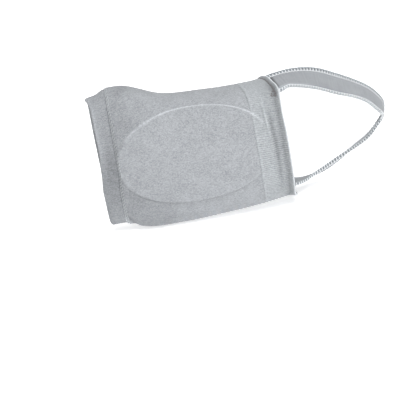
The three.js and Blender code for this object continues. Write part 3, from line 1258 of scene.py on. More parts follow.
@dataclass(frozen=True)
class Profile:
    """Profile of a knit wall as rings that close on themselves."""

    stations: Array
    outs: Array
    sides: tuple[Side, ...]

    @staticmethod
    def of(*stretches: tuple[Side, Sequence[float], Sequence[float] | float]) -> Profile:
        """Joins stretches, each a face with its stations and how far out they lie.

        Args:
            stretches: the stretches in order.

        Returns:
            The profile.
        """
        stations: list[float] = []
        outs: list[float] = []
        sides: list[Side] = []
        for side, places, out in stretches:
            stations.extend(places)
            outs.extend(np.broadcast_to(out, len(places)))
            sides.extend([side] * len(places))
        return Profile(np.array(stations), np.array(outs), tuple(sides))

    def skin(
        self,
        sleeve: Sleeve,
        shares: Array,
        ripple: Callable[[Array, Array], Array] | None = None,
        shade: float = 0.0,
    ) -> Patch:
        """Makes the closed wall.

        Args:
            sleeve: surface that the wall follows.
            shares: places round the sleeve as shares of its girth.
            ripple: extra relief of the outer face from the stations and shares, if any.
            shade: how much shade is painted for each millimetre that the ripple sinks, and light for each
                it rises.

        Returns:
            The wall as one patch.
        """
        outer = np.array([side is Side.OUTER for side in self.sides])[:, None]
        points, outward, painted_shade = sleeve.rings(self.stations, self.outs, outer, shares)
        if ripple is not None:
            rise = outer * ripple(self.stations[:, None], shares[None, :])
            points = points + outward * rise[..., None]
            # Paints shade in the ripple's hollows and light on its rises
            painted_shade = painted_shade - shade * rise
        turn = sleeve.form.girth(0.0)
        weave = np.stack(np.broadcast_arrays(self.stations[:, None], shares[None, :] * turn), -1)
        return Patch.skin(points, weave, True, True, turn, painted_shade).facing_out()


def sleeve_shares(sole: int, instep: int, sole_share: float = 0.54) -> Array:
    """Spaces places round the sleeve, with the given counts on its sole half and its instep half."""
    half = sole_share / 2
    return np.concatenate([
        np.linspace(-0.5, -half, instep // 2, endpoint=False),
        np.linspace(-half, half, sole, endpoint=False),
        np.linspace(half, 0.5, instep // 2, endpoint=False),
    ])


@dataclass
class SleeveBody:
    """Plain knitted tube between the hem and the cuff, drawn in at both of its seams."""

    sleeve: Sleeve
    finish: PlainKnit
    wall: float = 1.6
    seam_gap: float = 0.01
    seam_slope: float = 1.3
    seam_sink: float = 0.15
    rear_sink_share: float = 0.6
    row_step: float = 0.55
    flat: Span = (0.182, 0.090)

    def profile(self) -> Profile:
        """Draws the wall's profile, with both ends rolled in at the seams.

        Returns:
            The profile.
        """
        form = self.sleeve.form
        front = form.hem_seam + self.seam_gap
        rear = form.rib_seam - self.seam_gap
        roll = np.linspace(0.0, 1.0, 6)[:-1]
        drawn_in = -self.seam_sink * (1 - roll) ** 2
        count = int((rear - front - 2 * self.seam_slope) / self.row_step)
        outside = np.linspace(front + self.seam_slope, rear - self.seam_slope, count)
        inside = np.linspace(rear, front, count // 4)
        return Profile.of(
            (Side.OUTER, front + self.seam_slope * roll, drawn_in),
            (Side.OUTER, outside, 0.0),
            (Side.OUTER, (rear - self.seam_slope * roll)[::-1], drawn_in[::-1] * self.rear_sink_share),
            (Side.INNER, inside, -self.wall),
        )

    def build(self) -> bpy.types.Object:
        """Builds and dresses the tube.

        Returns:
            The tube.
        """
        wall = self.profile().skin(self.sleeve, sleeve_shares(300, 124))
        piece = build_piece("sleeve_body_knit", [wall], self.finish.material())
        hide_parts("sleeve_body")
        return piece


@dataclass
class ToeHem:
    """Doubled hem at the toe end, with its fold and a double row of stitches at its seam."""

    sleeve: Sleeve
    finish: PlainKnit
    thread: TwistedThread
    wall: float = 1.6
    rise: float = 0.4
    seam_gap: float = 0.01
    seam_slope: float = 2.4
    seam_sink: float = 0.15
    row_step: float = 0.5
    edge_wave: float = 0.15
    edge_wave_fade: Span = (-54.0, -60.0)
    edge_waves: Table = Table(("count", "share", "phase"), ((9, 1.0, 0.0), (23, 0.6, 1.0)))
    stitch_pitch: float = 2.2
    stitch_length: float = 1.5
    stitch_radius: float = 0.26
    stitch_rows: Span = (0.5, 1.5)
    stitch_slant: float = 0.25
    stitch_lift: float = 0.18
    stitch_dip: float = 0.3
    flat: Span = (0.160, 0.012)

    def profile(self) -> Profile:
        """Draws the wall's profile, round at the fold and drawn in at the seam.

        Returns:
            The profile.
        """
        form = self.sleeve.form
        seam = form.hem_seam - self.seam_gap
        half = (self.rise + self.wall) / 2
        turn = np.linspace(-math.pi / 2, math.pi / 2, 9)
        fold = form.toe_edge + half
        slope = np.linspace(0.0, 1.0, 6)[1:]
        drop = (self.rise + self.seam_sink) * slope**2
        outside = np.arange(fold + self.row_step, seam - self.seam_slope, self.row_step)
        inside = np.linspace(seam, fold + self.row_step, 12)
        return Profile.of(
            (Side.OUTER, fold - half * np.cos(turn), (self.rise - half) + half * np.sin(turn)),
            (Side.OUTER, outside, self.rise),
            (Side.OUTER, seam - self.seam_slope * (1 - slope), self.rise - drop),
            (Side.INNER, inside, -self.wall),
        )

    def ripple(self, stations: Array, shares: Array) -> Array:
        """Gives the slight unevenness of the doubled cloth.

        Args:
            stations: places along the sole.
            shares: places round the sleeve as shares of its girth.

        Returns:
            The relief.
        """
        turns = shares * 2 * math.pi
        wave = sum(share * np.sin(turns * count + phase) for count, share, phase in self.edge_waves.rows)
        return self.edge_wave * wave * smoothstep(stations, *self.edge_wave_fade)

    def stitches(self) -> list[Patch]:
        """Makes the double row of short stitches on the heel side of the seam.

        Returns:
            One patch for each stitch.
        """
        form = self.sleeve.form
        girth = form.girth(form.hem_seam)
        count = round(girth / self.stitch_pitch)
        run = np.linspace(-0.5, 0.5, 5) * self.stitch_length
        lift = self.stitch_lift - self.stitch_dip * (2 * run / self.stitch_length) ** 4
        patches = []
        for k, row in enumerate(self.stitch_rows):
            middles = (np.arange(count) + k / 2) / count * girth - girth / 2
            girths = middles[:, None] + run
            stations = form.hem_seam + row + run * self.stitch_slant
            points, outward = self.sleeve.spots(stations, girths, lift - self.seam_drop(row))
            # Each stitch takes the painted shade of the knit under its middle
            painted_tone = self.sleeve.painted_shade(stations, girths, points)[:, len(run) // 2]
            patches += tubes(points, outward, self.stitch_radius, painted_shade=painted_tone)
        return patches

    def seam_drop(self, past: float) -> float:
        """Tells how deep the cloth lies at a distance past the seam."""
        return self.seam_sink * max(0.0, 1 - past / SleeveBody.seam_slope) ** 2

    def build(self) -> bpy.types.Object:
        """Builds and dresses the hem and its stitches.

        Returns:
            The hem.
        """
        wall = self.profile().skin(self.sleeve, sleeve_shares(236, 124), self.ripple)
        piece = build_piece("toe_hem_knit", [wall], self.finish.material())
        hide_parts("toe_hem")
        stitching = build_piece("hem_stitches", self.stitches(), self.thread.material())
        return piece


@dataclass
class RibCuff:
    """Ribbed cuff at the heel end, with a cast-off edge and tacks that hold the strap under its lip."""

    sleeve: Sleeve
    finish: RibKnit
    edge_yarn: TwistedThread
    tack_thread_and_groove_shade: TwistedThread
    ribs: int = 160
    columns_per_rib: int = 6
    rib_height: float = 0.3
    # Painted shade in the grooves between the ribs and painted light on their crests
    rib_shade: float = 1.6
    rib_round: float = 0.7
    rib_mean: float = 0.6
    rib_start: Span = (0.4, 2.0)
    rib_end: Span = (-1.6, -0.6)
    rib_waver: Table = Table(("reach", "length", "turns"), ((0.12, 2.3, 41.0), (0.1, 5.1, -67.0)))
    slack: float = 0.88
    slack_shares: Places = (0.0, 0.07, 0.3, 0.4)
    wall: float = 1.8
    seam_gap: float = 0.01
    seam_slope: float = 1.0
    seam_sink: float = 0.16
    edge_roll: float = 0.5
    edge_roll_width: float = 2.2
    row_step: float = 0.5
    loop_radius: float = 0.42
    loop_length: float = 2.0
    loop_inset: float = 0.35
    loop_slant: float = 0.45
    loop_lift: float = 0.3
    loop_dip: float = 0.5
    tack_radius: float = 0.3
    tack_length: float = 1.7
    tack_inset: float = 0.5
    tack_lift: float = 0.12
    tack_dip: float = 0.25
    tack_girths: tuple[float, float, float] = (34.0, 76.0, 2.0)
    crossed_tacks: Table = Table(
        ("behind", "girth", "slant"),
        ((0.7, 38.2, 0.9), (1.8, 35.8, 0.5), (2.4, 33.8, -0.6), (1.0, 34.2, -1.0)),
    )
    flat: Span = (0.175, 0.021)

    def profile(self) -> Profile:
        """Draws the wall's profile, with a groove at the seam and a rolled edge.

        Returns:
            The profile.
        """
        form = self.sleeve.form
        front = form.rib_seam + self.seam_gap
        edge = form.heel_edge
        roll = edge - self.edge_roll_width
        slope = np.linspace(0.0, 1.0, 6)[:-1]
        outside = np.arange(front + self.seam_slope, roll, self.row_step)
        turn = np.linspace(math.pi / 2, -math.pi / 2, 9)
        half = (self.edge_roll + self.wall) / 2
        swell = np.linspace(0.0, 1.0, 5)[1:-1]
        inside = np.linspace(edge - half - self.row_step, front, 14)
        return Profile.of(
            (Side.OUTER, front + self.seam_slope * slope, -self.seam_sink * (1 - slope) ** 2),
            (Side.OUTER, outside, 0.0),
            (Side.OUTER, roll + (self.edge_roll_width - half) * swell, self.edge_roll * swell**2),
            (Side.OUTER, edge - half + half * np.cos(turn), (self.edge_roll - half) + half * np.sin(turn)),
            (Side.INNER, inside, -self.wall),
        )

    def rib_relief(self, stations: Array, shares: Array) -> Array:
        """Gives the ribs, which run from the seam to the edge with a slight waver.

        Args:
            stations: places along the sole.
            shares: places round the sleeve as shares of its girth.

        Returns:
            The relief.
        """
        form = self.sleeve.form
        waver = 0.0
        for reach, length, turns in self.rib_waver.rows:
            waver = waver + reach * np.sin(stations / length + shares * turns)
        ridge = 0.5 + 0.5 * np.sin(2 * math.pi * (shares * self.ribs + waver))
        start = [form.rib_seam + past for past in self.rib_start]
        end = [form.heel_edge + past for past in self.rib_end]
        height = self.rib_height * (1 - self.slack * window(shares, *self.slack_shares))
        return height * window(stations, *start, *end) * (ridge**self.rib_round - self.rib_mean)

    def edge_loops(self) -> list[Patch]:
        """Makes the row of cast-off loops along the heel edge, one for each rib.

        Returns:
            One patch for each loop.
        """
        form = self.sleeve.form
        girth = form.girth(form.heel_edge)
        run = np.linspace(-0.5, 0.5, 6)
        middles = (np.arange(self.ribs) + 0.5) / self.ribs * girth - girth / 2
        girths = middles[:, None] + run * self.loop_length
        stations = form.heel_edge - self.loop_inset + self.loop_slant * run
        lift = self.loop_lift - self.loop_dip * (2 * run) ** 2
        points, outward = self.sleeve.spots(stations, girths, lift)
        return tubes(points, outward, self.loop_radius)

    def tacks(self) -> list[Patch]:
        """Makes the dark stitches along the welt of the lip, with crossed ones at its lower end.

        Returns:
            One patch for each stitch.
        """
        # The close row of dark thread is stitching that also paints the shadow of the welt's groove
        groove = self.sleeve.form.heel_edge - self.sleeve.welt_width - self.tack_inset
        rows = [(0.0, girth, 0.0) for girth in np.arange(*self.tack_girths)]
        behind, girth, slant = np.array([*rows, *self.crossed_tacks.rows]).T[:, :, None]
        run = np.linspace(-1.0, 1.0, 5)
        reach = self.tack_length / 2 * run
        lift = self.tack_lift - self.tack_dip * run**4
        stations = groove - behind + reach * np.sin(slant)
        points, outward = self.sleeve.spots(stations, girth + reach * np.cos(slant), lift)
        return tubes(points, outward, self.tack_radius)

    def build(self) -> bpy.types.Object:
        """Builds and dresses the cuff, its edge and its tacks.

        Returns:
            The cuff.
        """
        columns = self.ribs * self.columns_per_rib
        shares = np.arange(columns) / columns - 0.5
        wall = self.profile().skin(self.sleeve, shares, self.rib_relief, self.rib_shade)
        piece = build_piece("rib_cuff_knit", [wall], self.finish.material())
        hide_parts("rib_cuff")
        edge = build_piece("cuff_edge_loops", self.edge_loops(), self.edge_yarn.material())
        tacks = build_piece("strap_tacks_and_groove_shade", self.tacks(), self.tack_thread_and_groove_shade.material())
        return piece


@dataclass
class ArchPad:
    """Oval gel pad inside the sole, flat to the knit and domed on its other side."""

    sleeve: Sleeve
    finish: SoftGel
    steps: int = 160
    wall: float = 1.8
    gap: float = 0.5
    inner_wall: float = 1.6
    rim_rise: float = 0.4
    dome_rise: float = 3.0
    dome_power: float = 1.2
    thinnest: float = 0.3
    reaches: Places = (0.02, 0.15, 0.3, 0.45, 0.6, 0.72, 0.82, 0.89, 0.93, 0.955)
    rim: Table = Table(("reach", "rise"), ((0.966, 0.0), (0.97, 0.352), (0.966, 0.704)))

    def place(self, x: Array, girth: Array) -> tuple[Array, Array]:
        """Finds places on the form by their true x, by moving the station until x agrees.

        Args:
            x: true places along the sole.
            girth: places round the sleeve.

        Returns:
            Points and outward directions.
        """
        station = x.copy()
        for _ in range(4):
            points, _, _ = self.sleeve.form.lay(station, girth[:, None])
            station = station + x - points[:, 0, 0]
        points, outward, _ = self.sleeve.form.lay(station, girth[:, None])
        return points[:, 0], outward[:, 0]

    def ring(self, reach: float, rise: float = 0.0, domed: bool = False) -> Array:
        """Lays a ring of points.

        Args:
            reach: the ring's share of the oval's outline.
            rise: how far inward it lies from the pad's flat side, at least.
            domed: whether it lies on the dome.

        Returns:
            The points.
        """
        x, girth = self.sleeve.oval.ring(reach, self.steps)
        points, outward = self.place(x, girth)
        depth = self.sleeve.pad_swell(x, girth, 0.0) - self.wall - self.gap - rise
        if domed:
            dome = self.dome_rise * (1 - reach**2) ** self.dome_power
            depth = np.minimum(depth, -self.inner_wall - self.rim_rise - dome)
        return points + outward * depth[:, None]

    def build(self) -> bpy.types.Object:
        """Builds and dresses the pad.

        Returns:
            The pad.
        """
        rings = [self.ring(reach) for reach in self.reaches]
        rings += [self.ring(reach, rise) for reach, rise in self.rim.rows]
        rings += [self.ring(reach, self.thinnest, True) for reach in self.reaches[::-1]]
        points = np.stack(rings)
        weave = points[..., [0, 2]]
        patch = Patch.skin(points, weave, False, True).capped(self.steps).facing_out()
        piece = build_piece("arch_pad_gel", [patch], self.finish.material())
        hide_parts("arch_pad")
        return piece


@dataclass
class HeelStrap:
    """Flat elastic that loops out behind the cuff, overlocked along both edges.

    In the table, the middle line goes from the cuff to the back of the loop on the medial side, and lean is
    by how many degrees its upper edge tips outward. The other half mirrors it about the middle plane.
    """

    sleeve: Sleeve
    finish: WovenElastic
    overlock: TwistedThread
    edge_thread: TwistedThread
    width: float = 18.0
    thread_cover: float = 0.35
    thickness: float = 1.3
    edge_thickness: float = 1.1
    upper_band: float = 3.2
    lower_band: float = 1.5
    band_thickness: float = 1.9
    band_slope: Span = (-0.4, 0.6)
    rim_round: float = 0.5
    rim_columns: Places = (0.0, 0.06, 0.18, 0.4)
    flat_from: float = 0.8
    flat_columns: int = 30
    rows: int = 400
    cuff_wall: float = 1.8
    seat_gap: float = 0.65
    ends: tuple[tuple[float, float], ...] = ((49.5, 27.5), (57.8, 29.5))
    free: Table = Table(
        ("x", "y", "z", "lean"),
        (
            (60.0, 32.0, 30.5, 10.0),
            (72.0, 36.0, 29.1, 20.5),
            (85.0, 40.5, 25.0, 28.5),
            (98.0, 44.8, 18.3, 27.5),
            (110.0, 49.6, 11.7, 20.5),
            (119.9, 52.8, 5.1, 18.0),
            (127.1, 55.6, -2.3, 18.0),
            (130.9, 57.0, -7.5, 15.0),
        ),
    )
    back: tuple[float, float, float] = (131.8, 57.2, 11.0)
    loop_middle: tuple[float, float, float] = (52.0, -6.0, -0.063)
    stitch_pitch: float = 2.1
    stitch_slant: float = 0.35
    steps_per_stitch: int = 8
    tooth_radius: float = 0.42
    tooth_seat: float = 0.252
    tooth_inset: float = 0.3
    tooth_squareness: float = 0.35
    tooth_tuck: float = 0.5
    tooth_tuck_power: int = 12
    tooth_waver: float = 0.1
    needle_radius: float = 0.22
    needle_seat: float = 0.132
    needle_wave: float = 0.2
    needle_dip: float = 0.3
    needle_dip_hump: Span = (0.5, 0.16)
    chain_radius: float = 0.4
    chain_inset: float = 1.0
    chain_lift: float = 0.5
    chain_wave: float = 0.15
    spread_down: float = 2.6
    spread_up: float = 0.9
    spread_tilt: float = 0.5
    spread_distances: Places = (7.0, 11.0, 11.0, 20.0)
    spread_from: Span = (2.0, 9.0)
    # Painted shadow on the elastic next to the lip, painted light far from it and between the stitches at
    # its rims
    lip_distance: float = 12.1
    lip_slant: float = 0.13
    lip_shade: float = 1.3
    lip_shadow: Places = (-6.0, -4.0, 0.2, 1.8)
    near_shade: float = 0.1
    far_light: float = 0.28
    far_from: Span = (14.0, 80.0)
    rim_light: float = 1.2
    rim_light_end: Span = (50.0, 22.0)
    rim_light_from: Span = (5.5, 7.0)
    flat: Span = (0.018, 0.185)
    route: Table = field(init=False)
    length: float = field(init=False)

    def __post_init__(self) -> None:
        """Works out the whole loop from the table."""
        medial = [self.seated(station, y, 1) for station, y in self.ends]
        lateral = [self.seated(station, y, -1) for station, y in self.ends]
        mirrored = [(x, y, 2 * self.middle_z(x) - z, lean) for x, y, z, lean in self.free.rows[1:]]
        x, y, lean = self.back
        behind = (x, y, self.middle_z(x), lean)
        rows = np.array([*medial, *self.free.rows, behind, *mirrored[::-1], *lateral[::-1]])
        steps = np.linalg.norm(np.diff(rows[:, :3], axis=0), axis=1)
        distance = np.concatenate([[0.0], np.cumsum(steps)])
        rows = np.column_stack([distance, rows])
        self.route = Table(("distance", "x", "y", "z", "lean"), tuple(map(tuple, rows)))
        self.length = float(distance[-1])

    def middle_z(self, x: float) -> float:
        """Gives the side place of the loop's middle plane."""
        start, z, slope = self.loop_middle
        return z + slope * (x - start)

    def section(self, station: float) -> dict[str, float]:
        """Reads the section of the worn form at a station."""
        row = self.sleeve.form.sections.read(np.array(station))
        return {name: float(value) for name, value in row.items()}

    def cuff_side(self, station: float, y: float, sign: int) -> float:
        """Gives the side place of the cuff's outer face at a height.

        Args:
            station: place along the sole.
            y: the height.
            sign: 1 for the medial side, -1 for the lateral one.

        Returns:
            The side place.
        """
        row = self.section(station)
        above = y > row["waist"]
        power = self.sleeve.form.crown_roundness if above else row["square"]
        rise = row["crown"] - row["waist"] if above else row["waist"] - row["sole"]
        narrowing = (1 - abs((y - row["waist"]) / rise) ** power) ** (1 / power)
        side = row["medial"] if sign > 0 else row["lateral"]
        edge = self.sleeve.form.heel_edge
        length = float(smoothstep(np.array(station), edge - self.sleeve.lip_length, edge))
        lift = self.sleeve.lip_lift * length * float(self.sleeve.lip_window(np.array(y)))
        return row["crown_z"] + (side - row["crown_z"]) * narrowing + sign * lift

    def seated(self, station: float, y: float, sign: int) -> tuple[float, float, float, float]:
        """Gives the place and lean of the strap where it lies against the inside of the cuff.

        Args:
            station: place along the sole.
            y: height of its middle line.
            sign: 1 for the medial side, -1 for the lateral one.

        Returns:
            The three coordinates of its middle line, and its lean in degrees.
        """
        row = self.section(station)
        upper = self.cuff_side(station, y + self.width / 2, sign)
        lower = self.cuff_side(station, y - self.width / 2, sign)
        z = (upper + lower) / 2 - sign * (self.cuff_wall + self.seat_gap + self.band_thickness / 2)
        height = (y - row["sole"]) / (row["crown"] - row["sole"])
        x = station - row["skew"] * z - row["rake"] * height**2
        return x, y, z, math.degrees(math.atan2(sign * (upper - lower), self.width))

    def middle(self, distances: Array) -> Array:
        """Gives places on the middle line of the loop."""
        row = self.route.read(np.clip(distances, 0.0, self.length))
        return np.stack([row["x"], row["y"], row["z"]], -1)

    def frames(self, distances: Array) -> tuple[Array, Array, Array]:
        """Gives the middle, the direction across and the outward direction at distances along the loop.

        Args:
            distances: places along the loop.

        Returns:
            Points and the two directions.
        """
        heading = unit(self.middle(distances + 1) - self.middle(distances - 1))
        outward = unit(np.stack([-heading[..., 2], np.zeros(distances.shape), heading[..., 0]], -1))
        lean = np.radians(self.route.read(np.clip(distances, 0.0, self.length))["lean"])[..., None]
        tipped = np.array([0.0, 1.0, 0.0]) * np.cos(lean) + outward * np.sin(lean)
        across = unit(tipped - heading * np.sum(tipped * heading, -1, keepdims=True))
        return self.middle(distances), across, np.cross(heading, across)

    def place(self, distances: Array, across: Array, out: Array) -> tuple[Array, Array]:
        """Finds places on or near the strap.

        Args:
            distances: place of each along the loop.
            across: place of each across the width, from the middle.
            out: how far each lies out from the middle of the thickness.

        Returns:
            Points and outward directions.
        """
        middle, wide, outward = self.frames(distances)
        down, up = self.spread(distances, across)
        wider = across - self.spread_down * down + self.spread_up * up
        tipped = out + self.spread_up * up - self.spread_tilt * self.spread_down * down
        return middle + wide * wider[..., None] + outward * tipped[..., None], outward

    def spread(self, distances: Array, across: Array) -> tuple[Array, Array]:
        """Tells by which shares the lower and the upper edge spread next to the cuff.

        Args:
            distances: places along the loop.
            across: places across the width.

        Returns:
            Both shares.
        """
        from_end = np.minimum(distances, self.length - distances)
        near = window(from_end, *self.spread_distances)
        return near * smoothstep(-across, *self.spread_from), near * smoothstep(across, *self.spread_from)

    def half_thickness(self, across: Array) -> Array:
        """Gives half of the elastic's thickness, thinner at the stitched edges and round at the rims.

        Args:
            across: places across the width.

        Returns:
            The half thicknesses.
        """
        half = self.width / 2 - self.thread_cover
        base = half - np.where(across > 0, self.upper_band, self.lower_band)
        pressed = smoothstep(np.abs(across) - base, *self.band_slope)
        flat = (self.thickness + (self.edge_thickness - self.thickness) * pressed) / 2
        rim = np.clip((np.abs(across) - (half - self.rim_round)) / self.rim_round, 0.0, 1.0)
        return flat * np.sqrt(np.clip(1 - rim**2, 0.0, 1.0))

    def elastic(self) -> Patch:
        """Makes the flat elastic.

        Returns:
            The closed patch.
        """
        half = self.width / 2 - self.thread_cover
        rim = half - np.array(self.rim_columns)
        flat = np.linspace(half - self.flat_from, -half + self.flat_from, self.flat_columns)
        top = np.concatenate([rim, flat, -rim[::-1]])
        across = np.concatenate([top, top[1:-1][::-1]])
        sign = np.concatenate([np.ones(len(top)), -np.ones(len(top) - 2)])
        distances = np.linspace(0.0, self.length, self.rows)
        grid = np.broadcast_arrays(distances[:, None], across[None, :])
        out = np.broadcast_to(sign * self.half_thickness(across), grid[0].shape)
        points, _ = self.place(grid[0], grid[1], out)
        patch = Patch.skin(points, np.stack(grid, -1), False, True, painted_shade=self.shade(*grid))
        return patch.capped(len(across)).facing_out()

    def shade(self, distances: Array, across: Array) -> Array:
        """Tells the elastic's painted shadow next to the lip, and its painted light far from it and at its
        rims.

        Args:
            distances: places along the loop.
            across: places across the width.

        Returns:
            The shade.
        """
        from_end = np.minimum(distances, self.length - distances)
        from_lip = from_end - self.lip_distance - self.lip_slant * across
        rims = smoothstep(np.abs(across), *self.rim_light_from)
        lip = self.lip_shade * window(from_lip, *self.lip_shadow) * (1 - rims)
        light = self.far_light * smoothstep(from_end, *self.far_from)
        light = light + self.rim_light * rims * smoothstep(from_end, *self.rim_light_end)
        return lip + self.near_shade - light

    def stitch_line(self) -> tuple[Array, Array]:
        """Gives close places along the loop, and how many stitches lie before each.

        Returns:
            The places and the counts.
        """
        count = int(self.length / self.stitch_pitch)
        pitch = self.length / count
        line = np.linspace(0.5 * pitch, self.length - 0.5 * pitch, count * self.steps_per_stitch)
        return line, line / pitch

    def edges(self) -> tuple[tuple[int, float], ...]:
        """Gives the sign of each edge and how far its stitches reach in from the rim."""
        return (1, self.upper_band), (-1, self.lower_band)

    def teeth(self) -> list[Patch]:
        """Makes the overlock stitches, which go over each rim from face to face.

        Returns:
            One patch for each stitch.
        """
        count = int(self.length / self.stitch_pitch)
        middles = (np.arange(1, count) * self.length / count)[:, None]
        turn = np.linspace(-1.0, 1.0, 15)[None, :]
        angle = turn * math.pi / 2
        distances = middles + self.stitch_slant * turn
        square = self.tooth_squareness
        lift = (self.edge_thickness / 2 + self.tooth_seat) * np.abs(np.sin(angle)) ** square
        out = np.sign(turn) * (lift - self.tooth_tuck * np.abs(turn) ** self.tooth_tuck_power)
        waver = self.tooth_waver * np.sin(middles * self.stitch_pitch)
        patches = []
        for edge, band in self.edges():
            base = self.width / 2 - band
            across = base + (band - self.tooth_inset) * np.abs(np.cos(angle)) ** square + waver
            points, _ = self.place(distances, edge * across, out)
            inner = np.full(across.shape, edge * (base - self.tooth_inset))
            inside, _ = self.place(distances, inner, 0 * out)
            patches += tubes(points, unit(points - inside), self.tooth_radius)
        return patches

    def needle_lines(self) -> list[Patch]:
        """Makes the lines of needle stitches at the base of the overlock, on both faces at both edges.

        Returns:
            One patch for each line.
        """
        line, stitch = self.stitch_line()
        wave = self.needle_wave * np.cos(2 * math.pi * stitch)
        seat = self.needle_seat - self.needle_dip * hump(stitch % 1.0, *self.needle_dip_hump)
        patches = []
        for edge, band in self.edges():
            across = edge * (self.width / 2 - band + wave)
            lift = self.half_thickness(across) + seat
            for face in (1, -1):
                points, outward = self.place(line, across, face * lift)
                patches += tubes(points[None], face * outward[None], self.needle_radius)
        return patches

    def rim_chains(self) -> list[Patch]:
        """Makes the chains of loops next to the rims, outside at the upper one, inside at the lower one.

        Returns:
            One patch for each chain.
        """
        line, stitch = self.stitch_line()
        turns = 2 * math.pi * stitch
        across = self.width / 2 - self.chain_inset - self.chain_wave * np.cos(turns)
        out = self.edge_thickness / 2 + self.chain_lift + self.chain_wave * np.sin(turns)
        patches = []
        for edge, _ in self.edges():
            points, outward = self.place(line, edge * across, edge * out)
            patches += tubes(points[None], outward[None], self.chain_radius)
        return patches

    def build(self) -> bpy.types.Object:
        """Builds and dresses the strap and its stitching.

        Returns:
            The strap.
        """
        piece = build_piece("heel_strap_elastic", [self.elastic()], self.finish.material())
        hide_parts("heel_strap")
        threads = self.teeth() + self.needle_lines()
        stitching = build_piece("strap_overlock", threads, self.overlock.material())
        loops = build_piece("strap_edge_loops", self.rim_chains(), self.edge_thread.material())
        return piece


def toward(azimuth: float, elevation: float) -> Vector:
    """Gives the direction from the part to an angle round it from the sole's side and above the floor."""
    level = math.cos(elevation)
    return Vector((math.sin(azimuth) * level, -math.cos(azimuth) * level, math.sin(elevation)))


@dataclass(frozen=True)
class Softbox:
    """Square softbox that faces the part. Its angles are in degrees, its distance and side in metres."""

    name: str
    azimuth: float
    elevation: float
    distance: float
    side: float
    watts: float

    def hang(self) -> None:
        """Hangs the light."""
        light = bpy.data.lights.new(self.name, "AREA")
        light.shape = "SQUARE"
        light.size = self.side
        light.energy = self.watts
        back = toward(math.radians(self.azimuth), math.radians(self.elevation))
        lamp = bpy.data.objects.new(self.name, light)
        lamp.location = back * self.distance
        lamp.rotation_euler = (-back).to_track_quat("-Z", "Y").to_euler()
        bpy.context.scene.collection.objects.link(lamp)


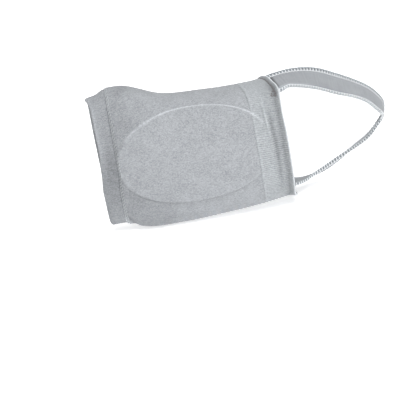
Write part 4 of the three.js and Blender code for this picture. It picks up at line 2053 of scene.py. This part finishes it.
@dataclass
class Studio:
    """Plain pale floor that glows softly from below, soft light and the camera."""

    floor_drop: float = 0.3
    floor_side: float = 9.0
    floor_white: float = 0.9
    floor_glow: float = 0.6
    sky: float = 0.26
    softboxes: tuple[Softbox, ...] = (
        Softbox("key", 4.0, 54.0, 2.4, 0.9, 36.0),
        Softbox("fill", 8.0, 7.0, 2.4, 1.4, 9.0),
        Softbox("back", 170.0, 66.0, 2.2, 1.2, 24.0),
    )
    lens: float = 100.0
    sensor: float = 36.0
    frame_pixels: float = 416.0
    pixel: float = 0.636
    azimuth: float = math.radians(-2.0)
    elevation: float = math.radians(27.0)
    roll: float = math.radians(6.5)
    aim: tuple[float, float, float] = (0.0, 2.5, 0.0)
    aim_pixel: tuple[float, float] = (197.0, 153.0)

    def floor(self) -> bpy.types.Object:
        """Lays the floor just under the lowest point of the part.

        Returns:
            The floor.
        """
        z = CAD_BOX[0].z - self.floor_drop * MM
        side = self.floor_side / 2
        corners = [(-side, -side, z), (side, -side, z), (side, side, z), (-side, side, z)]
        mesh = bpy.data.meshes.new("floor")
        mesh.from_pydata(corners, [], [(0, 1, 2, 3)])
        white = (self.floor_white, self.floor_white, self.floor_white, 1.0)
        paper = Nodes("floor_paper", Base_Color=white, Roughness=0.9, Emission_Color=white)
        paper.set("Emission Strength", self.floor_glow)
        mesh.materials.append(paper.material)
        floor = bpy.data.objects.new("floor", mesh)
        bpy.context.scene.collection.objects.link(floor)
        return floor

    def lights(self) -> None:
        """Sets the bright room and the softboxes."""
        world = bpy.data.worlds.new("bright_room")
        world.use_nodes = True
        sky = next(n for n in world.node_tree.nodes if n.type == "BACKGROUND")
        sky.inputs["Color"].default_value = (1.0, 1.0, 1.0, 1.0)
        sky.inputs["Strength"].default_value = self.sky
        bpy.context.scene.world = world
        for softbox in self.softboxes:
            softbox.hang()

    def camera(self) -> None:
        """Sets the camera by the angle of view, with the aim point at its place in the picture."""
        back = toward(self.azimuth, self.elevation)
        level = Vector((math.cos(self.azimuth), math.sin(self.azimuth), 0.0))
        upright = back.cross(level)
        right = level * math.cos(self.roll) - upright * math.sin(self.roll)
        up = upright * math.cos(self.roll) + level * math.sin(self.roll)
        distance = self.pixel * self.frame_pixels * self.lens / self.sensor
        aside = (self.aim_pixel[0] - self.frame_pixels / 2) * self.pixel
        above = (self.frame_pixels / 2 - self.aim_pixel[1]) * self.pixel
        place = Vector(self.aim) - right * aside - up * above + back * distance
        lens = bpy.data.cameras.new("camera")
        lens.lens = self.lens
        lens.sensor_width = self.sensor
        camera = bpy.data.objects.new("camera", lens)
        turn = Matrix((right, up, back)).transposed().to_4x4()
        camera.matrix_world = Matrix.Translation(place * MM) @ turn
        bpy.context.scene.collection.objects.link(camera)
        bpy.context.scene.camera = camera

    def build(self) -> None:
        """Sets up the floor, the lights, the camera and plain colours."""
        self.floor()
        self.lights()
        self.camera()
        bpy.context.scene.view_settings.view_transform = "Standard"


def main() -> None:
    """Builds the part piece by piece, then the studio round it."""
    logging.basicConfig(level=logging.INFO, format="%(name)s: %(message)s")
    sleeve = Sleeve()
    girth = sleeve.form.girth(0.0)
    rib_pitch = girth / RibCuff.ribs
    wale = girth / round(girth / PlainKnit.wale)
    knit = PlainKnit("sleeve_knit", grey(138, 141, 145), grey(185, 188, 192), wale)
    hem_knit = PlainKnit("hem_knit", grey(128, 131, 135), grey(177, 180, 184), wale)
    rib = RibKnit("rib_knit", grey(137, 141, 145), grey(190, 194, 197), rib_pitch)
    pale_yarn = TwistedThread("pale_yarn", grey(186, 192, 197), grey(222, 226, 229))
    seam_thread = TwistedThread("seam_thread", grey(160, 164, 168), grey(200, 204, 207))
    white_thread = TwistedThread("white_thread", grey(214, 218, 221), grey(242, 244, 246))
    slate_thread = TwistedThread("slate_thread", grey(145, 151, 156), grey(181, 187, 191))
    # Dark tack thread, which along the welt also paints the shadow of its groove
    dark_thread_and_groove_shade = TwistedThread("dark_thread_and_groove_shade", grey(88, 84, 86), grey(128, 122, 122))
    selvedge = grey(126, 131, 136)
    elastic = WovenElastic("strap_elastic", grey(136, 139, 143), grey(166, 169, 173), selvedge, 6.5)
    gel = SoftGel("pad_gel", grey(190, 192, 192), grey(214, 215, 214))
    assemblies = (
        ToeHem(sleeve, hem_knit, seam_thread),
        SleeveBody(sleeve, knit),
        RibCuff(sleeve, rib, pale_yarn, dark_thread_and_groove_shade),
        ArchPad(sleeve, gel),
        HeelStrap(sleeve, elastic, white_thread, slate_thread),
    )
    for assembly in assemblies:
        piece = assembly.build()
        LOG.info("%s is dressed", piece.name)
    Studio().build()


if __name__ == "__main__":
    main()
